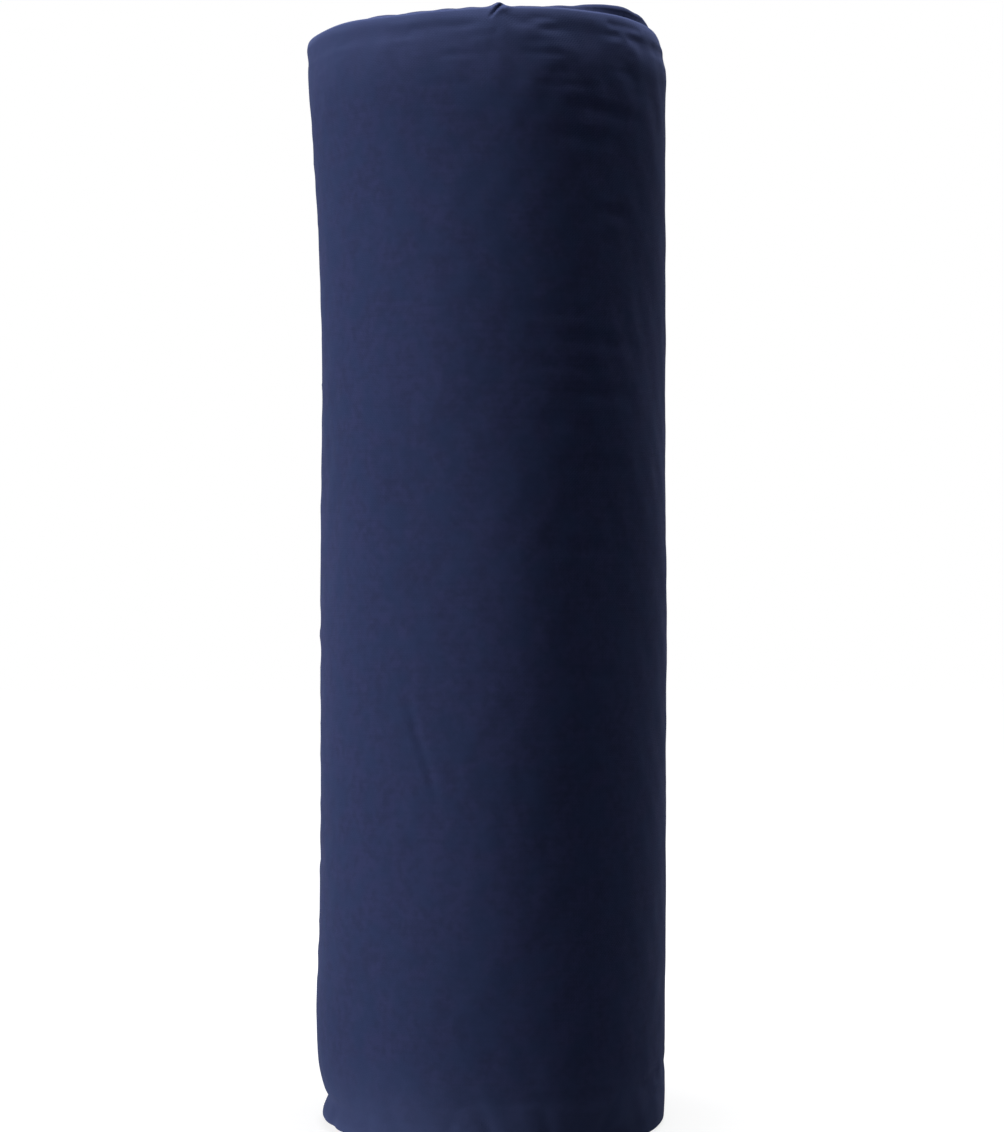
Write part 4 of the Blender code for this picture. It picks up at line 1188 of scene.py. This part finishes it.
beside, foot, head = stitch["fromZip"], slotFoot - stitch["pastSlot"], slotHead + stitch["pastSlot"]
slotLines = [((across, foot), (across, head)) for across in (beside, -beside)]
slotLines += [((-beside, end), (beside, end)) for end in (foot, head)]
stitchOn(slotLines, onWrap, "zipStitching", "cover_cotton")
print("handle and stitches: made")


# Hidden cloths and filling, each a little inside what covers it
inside = {
    "columns": 180, "clear": 0.3 * mm,
    # the liner's depth under the wrap, and how much more it is at the zip and inside the hems
    "liner": 3.0 * mm, "linerAtZip": 1.8 * mm, "zipReach": (8 * mm, 8 * mm), "linerAtHem": 3.9 * mm,
    "hemReach": 6 * mm, "linerCloth": 0.8 * mm, "linerFoot": 1.0 * mm, "linerHead": 5.0 * mm,
    "endRows": 16, "endReach": 40 * mm, "middleRows": 40, "middleFrom": 50 * mm, "liftReach": 60 * mm,
    "underPanel": 2.8 * mm, "underLiner": 1.2 * mm, "overPanel": 1.6 * mm, "overLiner": 2.9 * mm,
    "discRings": 30, "discEdge": 1 * mm, "padRoom": 1 * mm,
    "rollFoot": 33.3 * mm, "rollHead": 683.7 * mm, "rollInside": 6.2 * mm, "rollLast": 2 * mm, "perTurn": 72,
    "batting": 12 * mm, "gap": 0.5 * mm, "eye": 6 * mm,
    "ruffle": 0.5 * mm, "ruffleBelow": 0.04, "ruffleAbove": 0.67,
}
turns = zipAngle + np.arange(inside["columns"]) / inside["columns"] * fullTurn


def linerRadius(angle, height):
    # inside the wrap, pressed in behind the zip and inside the hems at both ends
    hem = 1 - smoothStep((toSeam(height) - inside["hemReach"]) / inside["hemReach"])
    depth = inside["liner"] + inside["linerAtHem"] * hem
    depth = depth + inside["linerAtZip"] * zipNearness(angle, height, *inside["zipReach"])
    return wrapRadius(angle, height, plain=True) - depth


def makeLinerWrap():
    # a tube from its foot up the outside to its head, and back down the inside
    form = inside
    low, high = bottomSeam + form["linerFoot"], topSeam - form["linerHead"]
    height = np.concatenate([
        np.linspace(low, low + form["endReach"], form["endRows"]),
        np.linspace(low + form["middleFrom"], high - form["middleFrom"], form["middleRows"]),
        np.linspace(high - form["endReach"], high, form["endRows"]),
    ])[:, None]

    def wall(up, thick):
        lift = seamLift(turns) * smoothStep((up - high + form["liftReach"]) / form["liftReach"])
        return cylinder(linerRadius(turns, up) - thick, turns, up + lift)

    rings = np.concatenate([wall(height, 0.0), wall(height[::-1], form["linerCloth"])])
    rows, columns = rings.shape[:2]
    index = np.arange(rows * columns).reshape(rows, columns)
    seamFaces = np.stack([index[-1], np.roll(index[-1], -1), np.roll(index[0], -1), index[0]], axis=1)
    uv = np.stack(np.broadcast_arrays((turns * radius)[None, :], rings[..., 2]), axis=-1)
    made = makeMesh("linerWrap", rings, [gridFaces(rows, columns, closed=True), seamFaces], uv)
    dress(made, calico, "liner_calico", "liner_wrap")


def makeDisc(name, outerAt, innerAt, rim, material, slotName, node):
    # a closed round plate between two surfaces given by angle and share, with a rounded side
    share = np.linspace(0, 1, inside["discRings"])[1:, None]
    over = cylinder(share * (rim - inside["discEdge"]), turns, outerAt(turns, share))
    under = cylinder(share[::-1] * (rim - inside["discEdge"]), turns, innerAt(turns, share[::-1]))
    part = np.linspace(0.15, 0.85, 4)[:, None]
    side = cylinder(rim + 0 * part, turns, over[-1, :, 2] + (under[0, :, 2] - over[-1, :, 2]) * part)
    middle = np.zeros(1)
    poles = [[0, 0, outerAt(middle, middle)[0]], [0, 0, innerAt(middle, middle)[0]]]
    made = revolved(name, np.concatenate([over, side, under]), poles)
    dress(made, material, slotName, node)


def underTop(depth):
    # a surface below the top panel
    return lambda angle, share: panelHeight(angle, share) - depth


def overBottom(height):
    # a flatter copy of the bottom panel, over it
    return lambda angle, share: bottomHeight(angle, share) * 0.6 + height


def levelAt(height):
    # a flat surface
    return lambda angle, share: height + 0 * angle * share


makeLinerWrap()
cloth, depth, height = inside["linerCloth"], inside["underPanel"], inside["overPanel"]
topRim = linerRadius(turns, topSeam - 2 * mm + 0 * turns) - cloth - inside["clear"]
bottomRim = linerRadius(turns, bottomSeam + 1 * mm + 0 * turns) - cloth - inside["clear"]
bag, pad = (calico, "liner_calico"), (batting, "cotton_batting")
makeDisc("linerEndTop", underTop(depth), underTop(depth + cloth), topRim, *bag, "liner_end_top")
outerAt, innerAt = overBottom(height), overBottom(height + cloth)
makeDisc("linerEndBottom", outerAt, innerAt, bottomRim, *bag, "liner_end_bottom")
outerAt, innerAt = underTop(depth + inside["underLiner"]), levelAt(inside["rollHead"] + inside["gap"])
makeDisc("battingPadTop", outerAt, innerAt, topRim - inside["padRoom"], *pad, "batting_pad_top")
outerAt, innerAt = overBottom(inside["overLiner"]), levelAt(inside["rollFoot"] - inside["gap"])
makeDisc("battingPadBottom", outerAt, innerAt, bottomRim - inside["padRoom"], *pad, "batting_pad_bottom")


def makeRoll():
    # one long strip wound from the middle: its radius grows by a layer each turn
    form = inside
    outside, pitch = radius - form["rollInside"], form["batting"] + form["gap"]
    count = (outside - form["rollLast"] - form["eye"]) / pitch
    wound = np.linspace(0, count * fullTurn, round(count * form["perTurn"]))[:, None]
    near = form["eye"] + pitch * wound / fullTurn
    far = np.minimum(near + form["batting"], outside)
    # the section: both faces in four steps, and rounded edges at the foot and head
    low, high = form["rollFoot"], form["rollHead"]
    share = np.array([0.0, 0, 0, 0, 0.12, 0.5, 0.88, 1, 1, 1, 1, 0.88, 0.5, 0.12])
    height = np.array([low + 4 * mm, low + 0.2, high - 0.2, high - 4 * mm, high - 1 * mm, high, high - 1 * mm,
                       high - 4 * mm, high - 0.2, low + 0.2, low + 4 * mm, low + 1 * mm, low, low + 1 * mm])
    ends = (height < form["ruffleBelow"]) | (height > form["ruffleAbove"])
    ruffle = form["ruffle"] * np.cos(wound * 5 + share * 4) * ends
    sections = cylinder(near + share * (far - near), zipAngle + wound, height + ruffle)
    made = makeMesh("battingRoll", sections, tubeFaces(1, *sections.shape[:2]))
    dress(made, batting, "cotton_batting", "batting_roll")


makeRoll()

# The squares of cover cloth behind the handle's stitches
patchForm = {
    "inner": 27 * mm, "outer": 3 * mm, "half": 18, "points": (22, 26), "under": 0.3 * mm, "cloth": 0.8 * mm,
}
for name, way in (("Left", -1), ("Right", 1)):
    alongPoints, acrossPoints = patchForm["points"]
    along = way * np.linspace(handleReach - patchForm["inner"], handleReach + patchForm["outer"], alongPoints)
    across = np.linspace(-patchForm["half"], patchForm["half"], acrossPoints) * mm
    x, y = np.meshgrid(along, across, indexing="ij")
    top = panelFoot(x, y) - endForm["cloth"] - patchForm["under"]
    upper, lower = (np.stack([x, y, z], axis=-1) for z in (top, top - patchForm["cloth"]))
    patch = slab("handlePatch" + name, upper, lower, np.stack([x, y], axis=-1))
    dress(patch, cotton, "cover_cotton", "handle_patch_" + name.lower())
print("liner, filling and patches: made")


# Studio: a white floor and background, and soft lights
studio = {
    "ambient": (0.80, 0.88, 1.0), "ambientStrength": 0.006, "floorSize": 12.0, "floorDrop": 0.6 * mm,
    "floorGrey": (0.3, 0.3, 0.3, 1), "floorGlow": (0.84, 1.0), "glowReach": (0.14, 0.6), "lightsAimAt": 0.36,
}


def byRay(owner, seen, unseen, output):
    # mixes two shaders: the first where the camera, a reflection or a see-through ray meets it
    path = addNode(owner, "LightPath")
    met = path.outputs["Is Camera Ray"]
    for kind in ("Is Glossy Ray", "Is Transmission Ray"):
        met = addNode(owner, "Math", {0: met, 1: path.outputs[kind]}, operation="MAXIMUM").outputs[0]
    mix = addNode(owner, "MixShader", {0: met, 1: unseen.outputs[0], 2: seen.outputs[0]})
    addNode(owner, output, {"Surface": mix.outputs[0]})


world = bpy.data.worlds.new("studio")
bpy.context.scene.world = world
world.use_nodes = True
world.node_tree.nodes.clear()
white = addNode(world, "Background", {"Color": (1, 1, 1, 1)})
dim = addNode(world, "Background", {"Color": (*studio["ambient"], 1), "Strength": studio["ambientStrength"]})
byRay(world, white, dim, "OutputWorld")

floorMaterial = bpy.data.materials.new("whiteStudioFloor")
floorMaterial.use_nodes = True
floorMaterial.node_tree.nodes.clear()
paper = addNode(floorMaterial, "BsdfDiffuse", {"Color": studio["floorGrey"]})
# the glow is full away from the bolster and lower beside it, where it leaves room for its shadow
place = addNode(floorMaterial, "TexCoord").outputs["Object"]
away = addNode(floorMaterial, "VectorMath", {0: place}, operation="LENGTH").outputs["Value"]
ranges = dict(enumerate((*studio["glowReach"], *studio["floorGlow"]), 1))
fade = addNode(floorMaterial, "MapRange", {0: away, **ranges})
glow = addNode(floorMaterial, "Emission", {"Strength": fade.outputs[0]})
shown = addNode(floorMaterial, "AddShader", {0: paper.outputs[0], 1: glow.outputs[0]})
byRay(floorMaterial, shown, paper, "OutputMaterial")
floorHalf = studio["floorSize"] / 2
corners = [(-1, -1), (1, -1), (1, 1), (-1, 1)]
corners = [(x * floorHalf, y * floorHalf, -studio["floorDrop"]) for x, y in corners]
floor = addObject("floor", meshFrom("floor", corners, [np.array([[0, 1, 2, 3]])]))
floor.data.materials.append(floorMaterial)

# Area lights: degrees round from the front, distance, height, (width, height) in metres, watts and colour
lights = {
    "left": (-66, 2.2, 0.14, (0.9, 1.3), 67, (1.0, 1.0, 1.0)),
    "rightBack": (122, 2.2, 0.45, (1.1, 1.6), 2.5, (0.94, 0.97, 1.0)),
    "top": (0, 0.02, 2.0, (0.6, 0.6), 36, (0.97, 0.98, 1.0)),
}
for name, (around, distance, height, size, power, colour) in lights.items():
    data = bpy.data.lights.new(name, "AREA")
    data.shape = "RECTANGLE"
    data.size, data.size_y = size
    data.energy = power
    data.color = colour
    light = addObject(name, data)
    turned = math.radians(around)
    light.location = (distance * math.sin(turned), -distance * math.cos(turned), height)
    rise = math.atan2(studio["lightsAimAt"] - height, distance)
    light.rotation_euler = (math.pi / 2 + rise, 0, turned)
print("studio: made")
